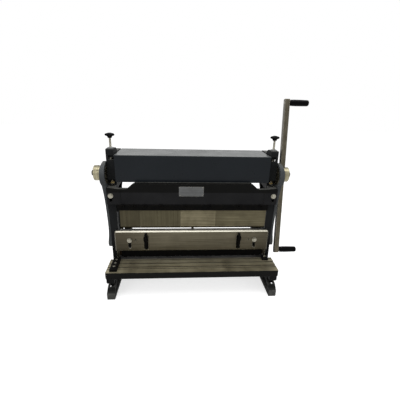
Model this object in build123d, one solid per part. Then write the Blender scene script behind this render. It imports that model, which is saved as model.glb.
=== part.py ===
from build123d import *
import os
from math import acos, cos, pi, radians, sin, sqrt, tan

# Three-in-one sheet-metal machine: slip rolls, finger brake and shear on one frame, worked by one lever.
# X runs along the rolls, Y away from the operator, Z up, all in millimetres. The origin lies on the bench,
# midway between the four bench bolts and straight under the brake line.

# ---- driving dimensions -------------------------------------------------------------------------------
capacity = 762.0                # widest sheet that the rolls, fingers and blades take
frame_gap = 784.0               # clear width between the side frames
frame_thickness = 38.0
frame_height = 720.0
frame_depth_front = 176.0       # toe in front of the brake line
frame_depth_back = 218.0        # heel behind the brake line
running_fit = 0.06              # radial clearance of a shaft in its bush
sliding_gap = 0.3               # clearance between faces that slide past each other

shaft_y, shaft_z = 56.0, 594.0  # axis of the drive roll, which is also the main shaft
roll_diameter = 41.4
journal_diameter = 30.0
bush_wall = 5.0
gear_module, gear_teeth, gear_width = 3.0, 14, 12.0
gear_backlash = 0.4
rear_roll_y, rear_roll_z = 107.0, 604.0

eccentric_throw = 24.0
swing_degrees = 45.0            # half of the lever's working swing
sheave_radius, sheave_width = 50.0, 23.0
eye_wall = 15.0
hub_radius, hub_length = 39.0, 44.0
trunnion_diameter, trunnion_z = 22.0, 215.0

table_top, table_drop = 145.0, 35.0
table_front, table_length = 165.0, 868.0
cut_plane = -10.0               # Y of the plane where the shear blades pass
blade_clearance = 0.3
lower_blade_depth, lower_blade_height = 24.0, 25.0
upper_blade_thickness, upper_blade_height = 10.0, 46.0
upper_blade_lift, upper_blade_rake = 13.8, 3.0

finger_widths = (33.0, 67.0, 95.0, 115.0, 184.0, 268.0)
finger_thickness, finger_nose_z, finger_top_z = 16.0, 313.0, 436.0
finger_shift = 5.0              # the row of fingers stands a little to the right
brake_gap = 10.0                # between the finger noses and the top of the V die
die_width, die_height, vee_width, vee_depth = 22.8, 26.0, 18.0, 9.0

plate_width, plate_height, plate_thickness, plate_bottom = 816.0, 116.0, 14.0, 188.0
foot_gap = 12.3                 # between the hold-down foot and the table
plate_share = 0.7071            # how far the hold-down goes for each millimetre of the moving beam
slot_width, slot_drop, slot_rise = 16.0, 40.0, 6.0

beam_front, beam_bottom, beam_lug_top = 22.0, 451.0, 540.0
cover_front, cover_back, cover_bottom, cover_top, cover_sheet = 4.0, 208.0, 560.0, 695.0, 2.0

bar_square, bar_up, bar_down, bar_lean = 25.0, 381.0, 438.0, 8.0
grip_radius, grip_length = 15.5, 97.0
knob_radius, knob_height = 23.5, 24.0
screw_radius = 6.0

# ---- places worked out from the driving dimensions -------------------------------------------------------
frame_in = frame_gap / 2
frame_out = frame_in + frame_thickness
frame_mid = (frame_in + frame_out) / 2
web_thickness = 14.0
rim = 14.0
swing = radians(swing_degrees)
ram_travel = eccentric_throw * sin(swing)
pivot_play = eccentric_throw * (1 - cos(swing)) / 2
sheave_y = shaft_y - eccentric_throw
trunnion_y = sheave_y + pivot_play
open_pivot_clearance = pivot_play + 0.6
arm_in = frame_out + 2.0
arm_eye_out = arm_in + sheave_width
hub_in = arm_eye_out + sliding_gap
hub_out = hub_in + hub_length
bar_x = hub_in + bar_square / 2 + 0.6
roll_pitch = gear_module * gear_teeth
upper_roll_z = shaft_z + roll_pitch
table_back = cut_plane - blade_clearance / 2
upper_blade_face = cut_plane + blade_clearance / 2
ram_face = upper_blade_face + upper_blade_thickness
plate_back = -12.0
plate_front = plate_back - plate_thickness
plate_top = plate_bottom + plate_height
pad_face = plate_back + sliding_gap
die_top = finger_nose_z - brake_gap
die_bottom = die_top - die_height
foot_bottom = table_top + foot_gap
finger_half = finger_thickness / 2
clamp_bar_bottom = 419.0
mirrored = {"left": -1, "right": 1}

os.makedirs("parts", exist_ok=True)


# ---- small helpers ---------------------------------------------------------------------------------------
def save(node, *solids):
    """Write one node; several solids stay separate inside it."""
    shape = solids[0] if len(solids) == 1 else Compound(children=list(solids))
    export_step(shape, f"parts/{node}.step")


def block(x, y, z):
    """Box between the given pairs of coordinates."""
    return Pos(sum(x) / 2, sum(y) / 2, sum(z) / 2) * Box(x[1] - x[0], y[1] - y[0], z[1] - z[0])


def rod_x(y, z, radius, x):
    return Pos((x[0] + x[1]) / 2, y, z) * Rot(0, 90, 0) * Cylinder(radius, abs(x[1] - x[0]))


def rod_y(x, z, radius, y):
    return Pos(x, (y[0] + y[1]) / 2, z) * Rot(90, 0, 0) * Cylinder(radius, abs(y[1] - y[0]))


def rod_z(x, y, radius, z):
    return Pos(x, y, (z[0] + z[1]) / 2) * Cylinder(radius, abs(z[1] - z[0]))


def outline(points, rounds=None):
    """Closed face through the points; rounds gives the radius of chosen corners by their number.

    A rounded corner is an arc that touches both of its sides and takes no more than half of the shorter one.
    """
    corners = [Vector(*point) for point in points]
    count = len(corners)
    stops = []
    for number, corner in enumerate(corners):
        before, after = corners[number - 1] - corner, corners[(number + 1) % count] - corner
        radius = (rounds or {}).get(number, 0)
        if not radius:
            stops.append((corner, None, corner))
            continue
        half_turn = tan(radians(before.get_angle(after)) / 2)
        reach = min(radius / half_turn, 0.48 * before.length, 0.48 * after.length)
        middle = (before.normalized() + after.normalized()).normalized()
        radius = reach * half_turn
        bulge = corner + middle * (sqrt(reach ** 2 + radius ** 2) - radius)
        stops.append((corner + before.normalized() * reach, bulge, corner + after.normalized() * reach))
    edges = []
    for number, (entry, bulge, leave) in enumerate(stops):
        if bulge:
            edges.append(ThreePointArc(entry, bulge, leave))
        edges.append(Line(leave, stops[(number + 1) % count][0]))
    return make_face(edges)


def along_x(face, x):
    """Carry a (Y, Z) face along X."""
    return Pos(x[0], 0, 0) * extrude(Plane.YZ * face, x[1] - x[0])


def along_y(face, y):
    """Carry an (X, Z) face along Y."""
    return Pos(0, y[1], 0) * extrude(Plane.XZ * face, y[1] - y[0])


def slot_y(x, z, width, y):
    """Upright slot cut along Y, between the heights z."""
    radius = width / 2
    body = block((x - radius, x + radius), y, (z[0] + radius, z[1] - radius))
    return body + rod_y(x, z[0] + radius, radius, y) + rod_y(x, z[1] - radius, radius, y)


def slot_x(y, z, width, x):
    """Upright slot cut along X, between the heights z."""
    radius = width / 2
    body = block(x, (y - radius, y + radius), (z[0] + radius, z[1] - radius))
    return body + rod_x(y, z[0] + radius, radius, x) + rod_x(y, z[1] - radius, radius, x)


def hex_head(radius, height):
    """Hexagon standing on the XY plane, its top edge turned round."""
    head = extrude(RegularPolygon(radius, 6), height)
    return head & (Pos(0, 0, height / 2) * chamfer(Cylinder(radius, height).edges().group_by(Axis.Z)[-1],
                                                    height * 0.18))


def socket_screw(radius, length):
    """Cap screw with a hexagon socket: head above the XY plane, shank below."""
    head = extrude(Circle(radius * 1.55), radius * 1.8)
    socket = Pos(0, 0, radius * 0.9) * extrude(RegularPolygon(radius * 0.9, 6), radius)
    return head - socket + Pos(0, 0, -length / 2) * Cylinder(radius, length)


def hex_bolt(radius, length):
    """Hexagon bolt with a washer: head above the XY plane, shank below."""
    washer = extrude(Circle(radius * 2.1), radius * 0.35)
    head = Pos(0, 0, radius * 0.35) * hex_head(radius * 1.75, radius * 1.25)
    return washer + head + Pos(0, 0, -length / 2) * Cylinder(radius, length)


facing_operator = Rot(90, 0, 0)
facing_back = Rot(-90, 0, 0)
facing_right = Rot(0, 90, 0)
facing_left = Rot(0, -90, 0)
facing_down = Rot(180, 0, 0)


def outward(side):
    return facing_right if side > 0 else facing_left


def span(side, near, far):
    """Pair of X values at one side of the machine, in rising order."""
    return tuple(sorted((side * near, side * far)))


# ---- side frames -----------------------------------------------------------------------------------------
toe_face, toe_height = 34.0, 56.0
arm_underside = table_top - table_drop
arm_front, arm_depth, arm_round = 162.0, 32.0, 14.0
arm_bottom = arm_underside - arm_depth
arm_root = 118.0                # the notch between the toe and the arm under the table ends here
table_bolt_y = (-139.0, -60.0)
table_bolt_grip = 18.0          # length of the bolts' thread in the table
beam_edge = 2.0                 # front edge of the frame where the crossbeam is bolted
notch_back, notch_low, notch_high = 48.0, 515.0, 564.0
head_front = 26.0               # the head stands behind the crossbeam
head_floor = 545.0
adjusting_y = 37.0              # screws between the crossbeam's lugs and the head
bench_hole_y, bench_hole_radius, bench_flange = 135.0, 6.5, 16.0
trunnion_slot_width = trunnion_diameter + 2 * sliding_gap
trunnion_slot = (trunnion_z - ram_travel - trunnion_diameter / 2 - 1.5,
                 trunnion_z + ram_travel + trunnion_diameter / 2 + 1.5)
block_width, block_height = 36.0, 38.0
block_gap = 0.15
upper_travel, rear_travel = 10.0, 16.0
window_roof = upper_roll_z + block_height / 2 + upper_travel + 12.0
beam_bolt_z, beam_slot_low = 497.0, 464.0
hinge_y, hinge_z, hinge_pin_radius = 196.0, 682.0, 5.0
recess_low, recess_high, recess_inset = 667.0, 690.0, 11.0
rear_screw_foot = 475.0
rear_screw_window = (rear_screw_foot - 22, rear_screw_foot + rear_travel + 3)
stretcher_y, stretcher_z = 168.0, 66.0

frame_points = [
    (-frame_depth_front, 0), (-frame_depth_front, toe_face), (-arm_root - 32, toe_height),
    (-arm_root - 4, toe_height + 6), (-arm_root, arm_bottom),
    (-arm_front, arm_bottom), (-arm_front, arm_underside), (beam_edge, arm_underside),
    (beam_edge, notch_low), (notch_back, notch_low), (notch_back, notch_high), (head_front, notch_high),
    (head_front, frame_height), (86, frame_height), (114, cover_top + 2), (frame_depth_back, cover_top + 2),
    (frame_depth_back, head_floor), (156, 470), (126, 330), (142, 120), (frame_depth_back, 44),
    (frame_depth_back, 0)]
frame_rounds = {1: 8, 2: 14, 3: 6, 4: 6, 5: 14, 9: 3, 10: 6, 11: 4, 12: 6, 13: 16, 14: 16, 15: 24, 16: 40,
                17: 60, 18: 90, 19: 60, 20: 22}


def side_frame(side):
    """Cast plate with a rim round a thinner web, a solid head for the roll bearings and a bolted foot."""
    face = outline(frame_points, frame_rounds)
    body = along_x(face, (-frame_thickness / 2, frame_thickness / 2))
    inner_face = offset(face, -rim)
    field = inner_face & (Pos(0, (bench_flange + head_floor - 30) / 2) *
                          Rectangle(600, head_floor - 30 - bench_flange))
    keep = Pos(trunnion_y, trunnion_z) * SlotOverall(trunnion_slot[1] - trunnion_slot[0] + 24,
                                                     trunnion_slot_width + 24, rotation=90)
    keep += Pos(beam_edge + 22, beam_bolt_z) * Rectangle(44, 60)
    keep += Pos(stretcher_y - 8, stretcher_z) * Rectangle(60, 86)
    keep += Pos(60, 128) * Rectangle(220, 30)
    keep += Pos(-(arm_front + 40) / 2, (arm_bottom + arm_underside) / 2) * Rectangle(arm_front - 20, arm_depth + 8)
    pocket_depth = (frame_thickness - web_thickness) / 2
    pockets = field - keep
    for x in ((-frame_thickness / 2, -frame_thickness / 2 + pocket_depth),
              (frame_thickness / 2 - pocket_depth, frame_thickness / 2)):
        for region in pockets.faces():
            body -= along_x(region, x)
    cut = (-frame_thickness, frame_thickness)
    body -= rod_x(shaft_y, shaft_z, journal_diameter / 2 + bush_wall, cut)
    half = block_width / 2 + block_gap
    body -= block(cut, (shaft_y - half, shaft_y + half), (upper_roll_z - block_height / 2, window_roof))
    body -= block(cut, (rear_roll_y - half, rear_roll_y + half),
                  (rear_roll_z - block_height / 2, rear_roll_z + block_height / 2 + rear_travel))
    body -= slot_x(trunnion_y, trunnion_slot, trunnion_slot_width, cut)
    body -= rod_z(0, shaft_y, screw_radius + sliding_gap, (window_roof - 1, frame_height + 1))
    body -= rod_z(0, rear_roll_y, screw_radius + sliding_gap, (rear_screw_window[1] - 1, rear_roll_z))
    body -= block(cut, (rear_roll_y - 15, rear_roll_y + 15), rear_screw_window)
    body -= rod_x(hinge_y, hinge_z, hinge_pin_radius, cut)
    for y in (-bench_hole_y, bench_hole_y):
        body -= rod_z(0, y, bench_hole_radius, (-1, bench_flange + 1))
        body -= rod_z(0, y, bench_hole_radius * 2, (bench_flange, 76))
    body -= rod_y(0, beam_bolt_z, 6, (beam_edge - 1, beam_edge + 36))
    boss_view = outline([(-frame_thickness / 2, arm_bottom), (-frame_thickness / 2, arm_underside),
                         (frame_thickness / 2, arm_underside), (frame_thickness / 2, arm_bottom)],
                        {0: arm_round, 3: arm_round})
    arm_end = (-arm_front - 1, -arm_root - 4)
    body -= block(cut, arm_end, (arm_bottom - 1, arm_underside - 2)) - along_y(boss_view, arm_end)
    recess = span(-side, frame_thickness / 2 + 1, recess_inset - frame_thickness / 2)
    body -= block(recess, (head_front - 1, shaft_y - half + 1), (recess_low, recess_high))
    for y in table_bolt_y:
        body -= rod_z(0, y, 5, (arm_bottom - 4, arm_underside + 1))
    body -= block(cut, (table_bolt_y[1] - 14, table_bolt_y[1] + 14), (arm_bottom - 24, arm_bottom))
    for z in (stretcher_z - 24, stretcher_z + 24):
        body -= rod_x(stretcher_y, z, 6, cut)
    body -= rod_z(0, adjusting_y, screw_radius, (notch_high - 1, notch_high + 16))
    return Pos(side * frame_mid, 0, 0) * body


# ---- table and shear ------------------------------------------------------------------------------------
groove_places = ((-44.0, 8.0, 2.5), (-80.0, 9.0, 3.0), (-113.0, 8.0, 3.0), (-128.0, 5.0, 2.0))
lip_thickness, table_plate, table_rear_wall = 16.0, 15.0, 16.0
table_half = table_length / 2
blade_seat_front = table_back - lower_blade_depth
gauge_width, gauge_height = 36.0, 14.0


def table():
    """Ground casting: grooved plate, deep front lip, end walls on the frames and ribs underneath."""
    blade_seat_z = table_top - lower_blade_height
    points = [(-table_front, table_top - table_drop), (-table_front, table_top - 3),
              (-table_front + 3, table_top), (blade_seat_front, table_top), (blade_seat_front, blade_seat_z),
              (table_back, blade_seat_z), (table_back, table_top - table_drop)]
    body = along_x(outline(points, {0: 5}), (-table_half, table_half))
    hollow = outline([(-table_front + lip_thickness, table_top - table_drop - 1),
                      (-table_front + lip_thickness, table_top - table_plate),
                      (blade_seat_front - table_rear_wall, table_top - table_plate),
                      (blade_seat_front - table_rear_wall, table_top - table_drop - 1)], {1: 5, 2: 5})
    bay = (2 * frame_in - 16) / 4
    for number in range(4):
        left = -frame_in + 8 + number * bay
        body -= along_x(hollow, (left + 6, left + bay - 6))
    for y, width, depth in groove_places:
        body -= block((-table_half - 1, table_half + 1), (y - width / 2, y + width / 2),
                      (table_top - depth, table_top + 1))
    for side in mirrored.values():
        for y in table_bolt_y:
            body -= rod_z(side * frame_mid, y, 5, (arm_underside - 1, arm_underside + table_bolt_grip))
    corners = body.edges().filter_by(Axis.Z).filter_by(lambda e: e.center().Y < -table_front + 6)
    return fillet(corners, 6)


lower_screw_xs = [-300 + 100 * number for number in range(7)]
lower_screw_z = table_top - lower_blade_height / 2


def lower_blade():
    """Hardened bar seated in the back edge of the table, with countersunk screw holes from behind."""
    blade = block((-capacity / 2, capacity / 2), (blade_seat_front, table_back),
                  (table_top - lower_blade_height, table_top))
    for x in lower_screw_xs:
        blade -= rod_y(x, lower_screw_z, 4, (blade_seat_front - 1, table_back + 1))
        blade -= Pos(x, table_back - 2, lower_screw_z) * facing_back * Cone(4, 8, 4)
    return blade


def flush_screw(x):
    """Flat-headed screw that holds the lower blade from behind."""
    shank = rod_y(x, lower_screw_z, 3.9, (blade_seat_front, table_back - 4))
    return shank + Pos(x, table_back - 2.1, lower_screw_z) * facing_back * Cone(3.9, 7.7, 3.8)


gauge_x = -398.0
gauge_screw_y = (-58.0, -90.0, -122.0)


def side_gauge():
    """Black block that squares the sheet to the blades, held by three screws."""
    gauge = block((gauge_x - gauge_width / 2, gauge_x + gauge_width / 2), (-150, -38),
                  (table_top, table_top + gauge_height))
    gauge = chamfer(gauge.edges().group_by(Axis.Z)[-1], 2)
    for y in gauge_screw_y:
        gauge -= rod_z(gauge_x, y, 4, (table_top - 1, table_top + gauge_height + 1))
        gauge -= rod_z(gauge_x, y, 7, (table_top + gauge_height - 7, table_top + gauge_height + 1))
    return gauge


stop_x = 392.0
stop_screw_y = -46.0


def rear_stop():
    """Small block at the right rear corner of the table, held by one screw."""
    stop = block((stop_x - 16, stop_x + 16), (stop_screw_y - 18, stop_screw_y + 18), (table_top, table_top + 12))
    stop = chamfer(stop.edges().group_by(Axis.Z)[-1], 2)
    return stop - rod_z(stop_x, stop_screw_y, 4, (table_top - 1, table_top + 13))


# ---- crossbeam and fingers ------------------------------------------------------------------------------
beam_back, leg_back, leg_top = 44.0, 32.0, 480.0
beam_crown = 566.0 - 8.0
clamp_bar_top, clamp_bar_thickness = 450.0, 15.0
clamp_screw_z, jack_screw_z = 443.5, 428.5
clamp_screw_xs = [-355, -300, -245, -165, -40, 85, 235, 350]
jack_screw_xs = [-360 + 103 * number for number in range(8)]
window_x = 330.0


def crossbeam():
    """Fixed upper beam: front panel with end lugs, back leg behind the fingers and stiffening ribs."""
    lug = frame_out + 1
    panel = outline([(-lug, beam_bottom), (-lug, beam_lug_top), (-window_x - 40, beam_lug_top - 8),
                     (-window_x, beam_lug_top - 8), (-window_x + 30, beam_crown), (window_x - 30, beam_crown),
                     (window_x, beam_lug_top - 8), (window_x + 40, beam_lug_top - 8), (lug, beam_lug_top),
                     (lug, beam_bottom)], {0: 5, 1: 8, 9: 5, 8: 8, 3: 12, 4: 14, 5: 14, 6: 12})
    body = along_y(panel, (-beam_front, beam_edge))
    relief = window_x + 34
    body -= block((-relief, relief), (-beam_front - 1, -beam_front + 2.5), (beam_bottom - 1, beam_crown + 1))
    inside = frame_in - 0.5
    leg = outline([(finger_half, beam_bottom - 50), (finger_half, beam_bottom + 8), (beam_edge, beam_bottom + 8),
                   (beam_edge, leg_top), (beam_edge + 14, leg_top + 40), (beam_back, leg_top + 40),
                   (beam_back, leg_top + 28), (beam_edge + 22, leg_top + 16), (beam_edge + 22, leg_top - 8),
                   (leg_back, leg_top - 18), (leg_back, beam_bottom - 50)], {6: 4, 7: 8, 8: 8, 9: 4})
    body += along_x(leg, (-inside, inside))
    for x in (-inside + 8, -inside / 2, 0, inside / 2, inside - 8):
        body += block((x - 5, x + 5), (beam_edge, beam_back), (beam_bottom, leg_top + 30))
    body -= block((-inside, inside), (-finger_half - 14, finger_half), (beam_bottom - 60, clamp_bar_top + 1))
    for side in mirrored.values():
        x = side * frame_mid
        body += block((x - 18, x + 18), (beam_edge - 1, notch_back - 4), (notch_low + 1, beam_lug_top - 4))
        body += rod_z(x, adjusting_y - 4, 12.5, (notch_low + 1, beam_lug_top + 4))
        body -= slot_y(x, (beam_slot_low, beam_bolt_z + 8), 13, (-beam_front - 1, beam_edge + 1))
    for x in clamp_screw_xs:
        body -= rod_y(x, clamp_screw_z, 5, (finger_half - 1, finger_half + 24))
    return body


def finger(left, width):
    """One brake finger: a thick plate with a bevelled nose and a lightening chamfer at its top."""
    nose = finger_nose_z
    flank = 11.0
    half_angle = radians(39)
    blunt = 0.8
    shoulder = blunt + flank * tan(half_angle)
    points = [(-blunt, nose), (-min(shoulder, finger_half), nose + flank), (-finger_half, nose + flank),
              (-finger_half, finger_top_z - 2), (-finger_half + 2, finger_top_z), (finger_half, finger_top_z),
              (finger_half, nose + flank), (blunt, nose)]
    if shoulder >= finger_half:
        points.pop(2)
    return along_x(outline(points), (left, left + width))


def finger_clamp():
    """Black bar that clamps the finger tops against the crossbeam."""
    bar = block((-capacity / 2 - 2, capacity / 2 + 8), (-finger_half - clamp_bar_thickness, -finger_half),
                (clamp_bar_bottom, clamp_bar_top))
    bar = chamfer(bar.edges().filter_by(Axis.X).group_by(Axis.Y)[0], 1.5)
    for x in clamp_screw_xs:
        bar -= rod_y(x, clamp_screw_z, 5.2, (-finger_half - clamp_bar_thickness - 1, -finger_half + 1))
    for x in jack_screw_xs:
        bar -= rod_y(x, jack_screw_z, 4, (-finger_half - clamp_bar_thickness - 1, -finger_half + 1))
    return bar


# ---- moving beam, die and blade ---------------------------------------------------------------------------
ram_half = frame_in - 14.3
ram_bottom, ram_top = 168.0, die_bottom
ram_back, web_back = 60.0, 14.0
tongue_y = (16.0, 54.0)
gib_z = (150.0, 250.0)
pad_bottom = 208.0
truss_y, truss_screw_radius = 32.0, 7.0
plate_bolt_x, plate_bolt_z, plate_bolt_radius = 332.0, 252.0, 6.0
spring_x, spring_top = 246.0, 266.0
stop_lug_x = (327.0, 362.0)
upper_screw_xs = [-330 + 110 * number for number in range(7)]
upper_screw_z = 187.0


def ram():
    """Moving beam: a deep cast section with flanges, end tongues for the gibs and lugs on its top."""
    section = outline([(ram_face, ram_bottom), (ram_face, pad_bottom), (pad_face, pad_bottom + 4),
                       (pad_face, ram_top), (ram_back, ram_top), (ram_back, ram_top - 14), (web_back, ram_top - 24),
                       (web_back, ram_bottom + 26), (ram_back, ram_bottom + 16), (ram_back, ram_bottom)],
                      {4: 4, 5: 4, 6: 10, 7: 10, 8: 4, 9: 4})
    body = along_x(section, (-ram_half, ram_half))
    rib = outline([(web_back - 4, ram_bottom + 4), (web_back - 4, ram_top - 4), (ram_back - 3, ram_top - 4),
                   (ram_back - 12, ram_bottom + 50), (ram_back - 3, ram_bottom + 4)])
    for number in range(5):
        x = (number - 2) * ram_half / 2.6
        body += along_x(rib, (x - 6, x + 6))
    for side in mirrored.values():
        body += block(span(side, ram_half - 60, ram_half), (web_back - 4, ram_back - 4), (ram_bottom + 4, ram_top - 4))
        body += block(span(side, ram_half - 1, frame_in - sliding_gap), tongue_y, (ram_bottom - 4, ram_top))
        body += block(span(side, *stop_lug_x), (die_width / 2 + 6, tongue_y[1]), (ram_top - 2, die_top + 14))
        body -= rod_x(trunnion_y, trunnion_z, trunnion_diameter / 2, span(side, frame_in - 50, frame_in + 1))
        body -= rod_y(side * plate_bolt_x, plate_bolt_z, plate_bolt_radius, (pad_face - 1, web_back + 1))
        body -= rod_y(side * spring_x, spring_top, 4, (pad_face - 1, web_back + 1))
    for x in upper_screw_xs:
        body -= rod_y(x, upper_screw_z, 4, (ram_face - 1, web_back + 8))
    body -= rod_z(0, truss_y, truss_screw_radius, (ram_top - 40, ram_top + 1))
    return body


def vee_die():
    """Bar along the top of the moving beam with the V that the fingers press the sheet into."""
    half, vee = die_width / 2, vee_width / 2
    top = die_top
    points = [(-half, die_bottom), (-half, top), (-vee, top), (-0.6, top - vee_depth), (0.6, top - vee_depth),
              (vee, top), (half, top), (half, die_bottom)]
    return along_x(outline(points), (-capacity / 2, capacity / 2))


def upper_blade():
    """Upper shear blade: its lower edge rises to the right, so the cut runs along the sheet."""
    low = table_top + upper_blade_lift
    half = capacity / 2
    face = outline([(-half, low), (-half, low + upper_blade_height), (half, low + upper_blade_height),
                    (half, low + upper_blade_rake)])
    blade = along_y(face, (upper_blade_face, ram_face))
    for x in upper_screw_xs:
        blade -= rod_y(x, upper_screw_z, 4.2, (upper_blade_face - 1, ram_face + 1))
        blade -= Pos(x, upper_blade_face + 2.5, upper_screw_z) * facing_operator * Cone(4.2, 8.5, 5)
    return blade


def upper_blade_screw(x):
    shank = rod_y(x, upper_screw_z, 4, (upper_blade_face + 5, web_back + 6))
    return shank + Pos(x, upper_blade_face + 2.6, upper_screw_z) * facing_operator * Cone(4, 8.2, 4.8)


# ---- hold-down ----------------------------------------------------------------------------------------------
post_head_radius = 6.5
plate_lag = ram_travel * (1 - plate_share)
window_half, window_low = 11.0, 200.0
window_high = spring_top + post_head_radius + plate_lag + 1.5
coil_radius, wire_radius, coil_turns = 7.5, 1.4, 6


def hold_down_plate():
    """Ground plate with rounded corners, two bolt slots and two windows for its springs."""
    half = plate_width / 2
    face = outline([(-half, plate_bottom), (-half, plate_top), (half, plate_top), (half, plate_bottom)],
                   {0: 6, 1: 12, 2: 12, 3: 6})
    plate = along_y(face, (plate_front, plate_back))
    top_edge = plate.edges().filter_by(Axis.X).filter_by(
        lambda e: abs(e.center().Y - plate_front) < 0.1 and e.center().Z > plate_top - 1)
    plate = chamfer(top_edge, 5)
    through = (plate_front - 1, plate_back + 1)
    for side in mirrored.values():
        top = plate_bolt_z + slot_rise + slot_width / 2
        plate -= slot_y(side * plate_bolt_x, (plate_bolt_z - slot_drop - slot_width / 2, top), slot_width, through)
        plate -= rod_y(side * 301, plate_bolt_z + 2, 4.5, through)
        plate -= block((side * spring_x - window_half, side * spring_x + window_half), through,
                       (window_low, window_high))
        plate -= block((side * 380 - 6, side * 380 + 6), (plate_back - 3, plate_back + 1),
                       (plate_bottom - 1, plate_bottom + 20))
    return plate


def hold_down_foot():
    """Dark bar screwed behind the plate's lower edge; it reaches down and presses the sheet."""
    points = [(plate_front + 3, foot_bottom), (plate_front + 3, plate_bottom), (plate_back, plate_bottom),
              (plate_back, foot_bottom)]
    return along_x(outline(points, {0: 2}), (-capacity / 2 + 3, capacity / 2 - 3))


def coil_spring(x):
    """Compression spring seen in the plate's window, between the post on the beam and the window's sill."""
    height = spring_top - 9 - window_low - 2 * wire_radius - 0.4
    path = Helix(pitch=height / coil_turns, height=height, radius=coil_radius)
    wire = sweep(Plane(origin=path @ 0, z_dir=path % 0) * RegularPolygon(wire_radius * 1.15, 6), path)
    return Pos(x, pad_face - 0.5 - coil_radius - 1.15 * wire_radius, window_low + wire_radius + 0.2) * wire


def spring_post(x):
    """Stepped post on the moving beam that the top of the spring bears on, with a round screw head."""
    post = rod_y(x, spring_top, 4, (pad_face, web_back)) + rod_y(x, spring_top, post_head_radius, (plate_front - 5, pad_face))
    shelf = block((x - 9, x + 9), (plate_front - 5, plate_back - 1), (spring_top - 9, spring_top - 4))
    return post + shelf


# ---- lever, shaft and eccentrics ------------------------------------------------------------------------------


def gear_face(tooth_shift=0.0):
    """Involute spur gear outline in its own plane; tooth_shift turns it, in degrees."""
    pitch_radius = gear_module * gear_teeth / 2
    pressure = radians(20)
    base = pitch_radius * cos(pressure)
    tip, root = pitch_radius + gear_module, pitch_radius - 1.25 * gear_module
    half_thickness = (pi * gear_module / 2 - gear_backlash) / (2 * pitch_radius)
    flare = tan(pressure) - pressure

    def polar(radius, angle):
        return (radius * cos(angle), radius * sin(angle))

    def half_angle(radius):
        roll = acos(min(1.0, base / radius))
        return half_thickness + flare - (tan(roll) - roll)

    points = []
    steps = [base, base + 0.25 * (tip - base), base + 0.6 * (tip - base), tip]
    for tooth in range(gear_teeth):
        middle = radians(tooth_shift) + 2 * pi * tooth / gear_teeth
        points.append(polar(root, middle - half_angle(base) - 0.02))
        points += [polar(radius, middle - half_angle(radius)) for radius in steps]
        points += [polar(radius, middle + half_angle(radius)) for radius in reversed(steps)]
        points.append(polar(root, middle + half_angle(base) + 0.02))
    return make_face(Polyline(*points, close=True))


roll_right = frame_in - 4.0 - gear_width - 1.0
roll_left = roll_right - capacity
gear_x = (frame_in - 4.0 - gear_width, frame_in - 4.0)


def roll_gear(y, z, tooth_shift):
    gear = along_x(Pos(y, z) * gear_face(tooth_shift), gear_x)
    return gear - rod_x(y, z, journal_diameter / 2, (gear_x[0] - 1, gear_x[1] + 1))


def roll(y, z, journal_reach):
    """Ground roll turned down to journals at both ends."""
    body = rod_x(y, z, roll_diameter / 2, (roll_left, roll_right))
    body = chamfer(body.edges().filter_by(GeomType.CIRCLE), 1.5)
    return body + rod_x(y, z, journal_diameter / 2, (-journal_reach, journal_reach))


def eccentric_hub(side):
    """Turned steel hub with the eccentric sheave on its inner end and a cross hole for the lever bar."""
    sheave = rod_x(sheave_y, shaft_z, sheave_radius, span(side, arm_in + sliding_gap, hub_in + 1))
    hub = rod_x(shaft_y, shaft_z, hub_radius, span(side, hub_in, hub_out))
    hub = chamfer(hub.edges().filter_by(GeomType.CIRCLE).sort_by(Axis.X)[-1 if side > 0 else 0], 2.5)
    body = sheave + hub
    body -= rod_x(shaft_y, shaft_z, journal_diameter / 2, span(side, arm_in - 1, arm_eye_out - sliding_gap))
    half = bar_square / 2 + 0.1
    square = Pos(side * bar_x, shaft_y, shaft_z) * Rot(-bar_lean, 0, 0) * Box(2 * half, 2 * half, 3 * hub_radius)
    body -= square
    return body - rod_x(shaft_y, shaft_z, 8, span(side, bar_x, hub_out + 1))


def lever_bar():
    """Square bar through the right hub, its lower end rounded over, with a hole near each end."""
    half = bar_square / 2
    face = outline([(-half, -bar_down), (-half, bar_up), (half, bar_up), (half, -bar_down)],
                   {0: 12, 1: 4, 2: 4, 3: 12})
    bar = along_x(face, (-half, half))
    bar = chamfer(bar.edges().filter_by(Axis.Z), 1.2)
    for z in (bar_up - grip_inset, -bar_down + grip_inset):
        bar -= rod_x(0, z, spindle_radius, (-half - 1, half + 1))
    return Pos(bar_x, shaft_y, shaft_z) * Rot(-bar_lean, 0, 0) * bar


grip_inset, spindle_radius = 18.0, 6.0
bar_end_x = bar_x + bar_square / 2
grip_gap = 2.0


def on_bar(along):
    """Y and Z of a point on the lever bar's middle line, measured from the shaft."""
    lean = radians(bar_lean)
    return shaft_y + along * sin(lean), shaft_z + along * cos(lean)


def grip_spindle(along):
    """Shouldered bolt that a grip turns on, with a slotted head at its inner end."""
    y, z = on_bar(along)
    shank = rod_x(y, z, spindle_radius, (bar_x - bar_square / 2, bar_end_x + grip_length - 6))
    return shank + rod_x(y, z, spindle_radius + 2.5, (bar_end_x, bar_end_x + grip_gap - sliding_gap))


def grip(along):
    """Black grip: slightly tapered, with a rounded outer end and a shallow ring at its root."""
    start = bar_end_x + grip_gap
    profile = Polyline((0, 0), (0, 13.0), (3, 14.0), (6, grip_radius), (grip_length * 0.55, grip_radius + 0.4),
                       (grip_length - 8, grip_radius - 1.0))
    cap = ThreePointArc((grip_length - 8, grip_radius - 1.0), (grip_length - 2.6, grip_radius - 3.6),
                        (grip_length, grip_radius - 9))
    body = revolve(make_face([profile, cap, Polyline((grip_length, grip_radius - 9), (grip_length, 0), (0, 0))]),
                   Axis.X)
    y, z = on_bar(along)
    body = Pos(start, y, z) * body
    return body - rod_x(y, z, spindle_radius + running_fit, (start - 1, bar_end_x + grip_length - 6 + 0.5))


# ---- arms -----------------------------------------------------------------------------------------------------
arm_foot_radius, arm_foot_out, arm_waist = 24.0, 17.0, 11.0


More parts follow.
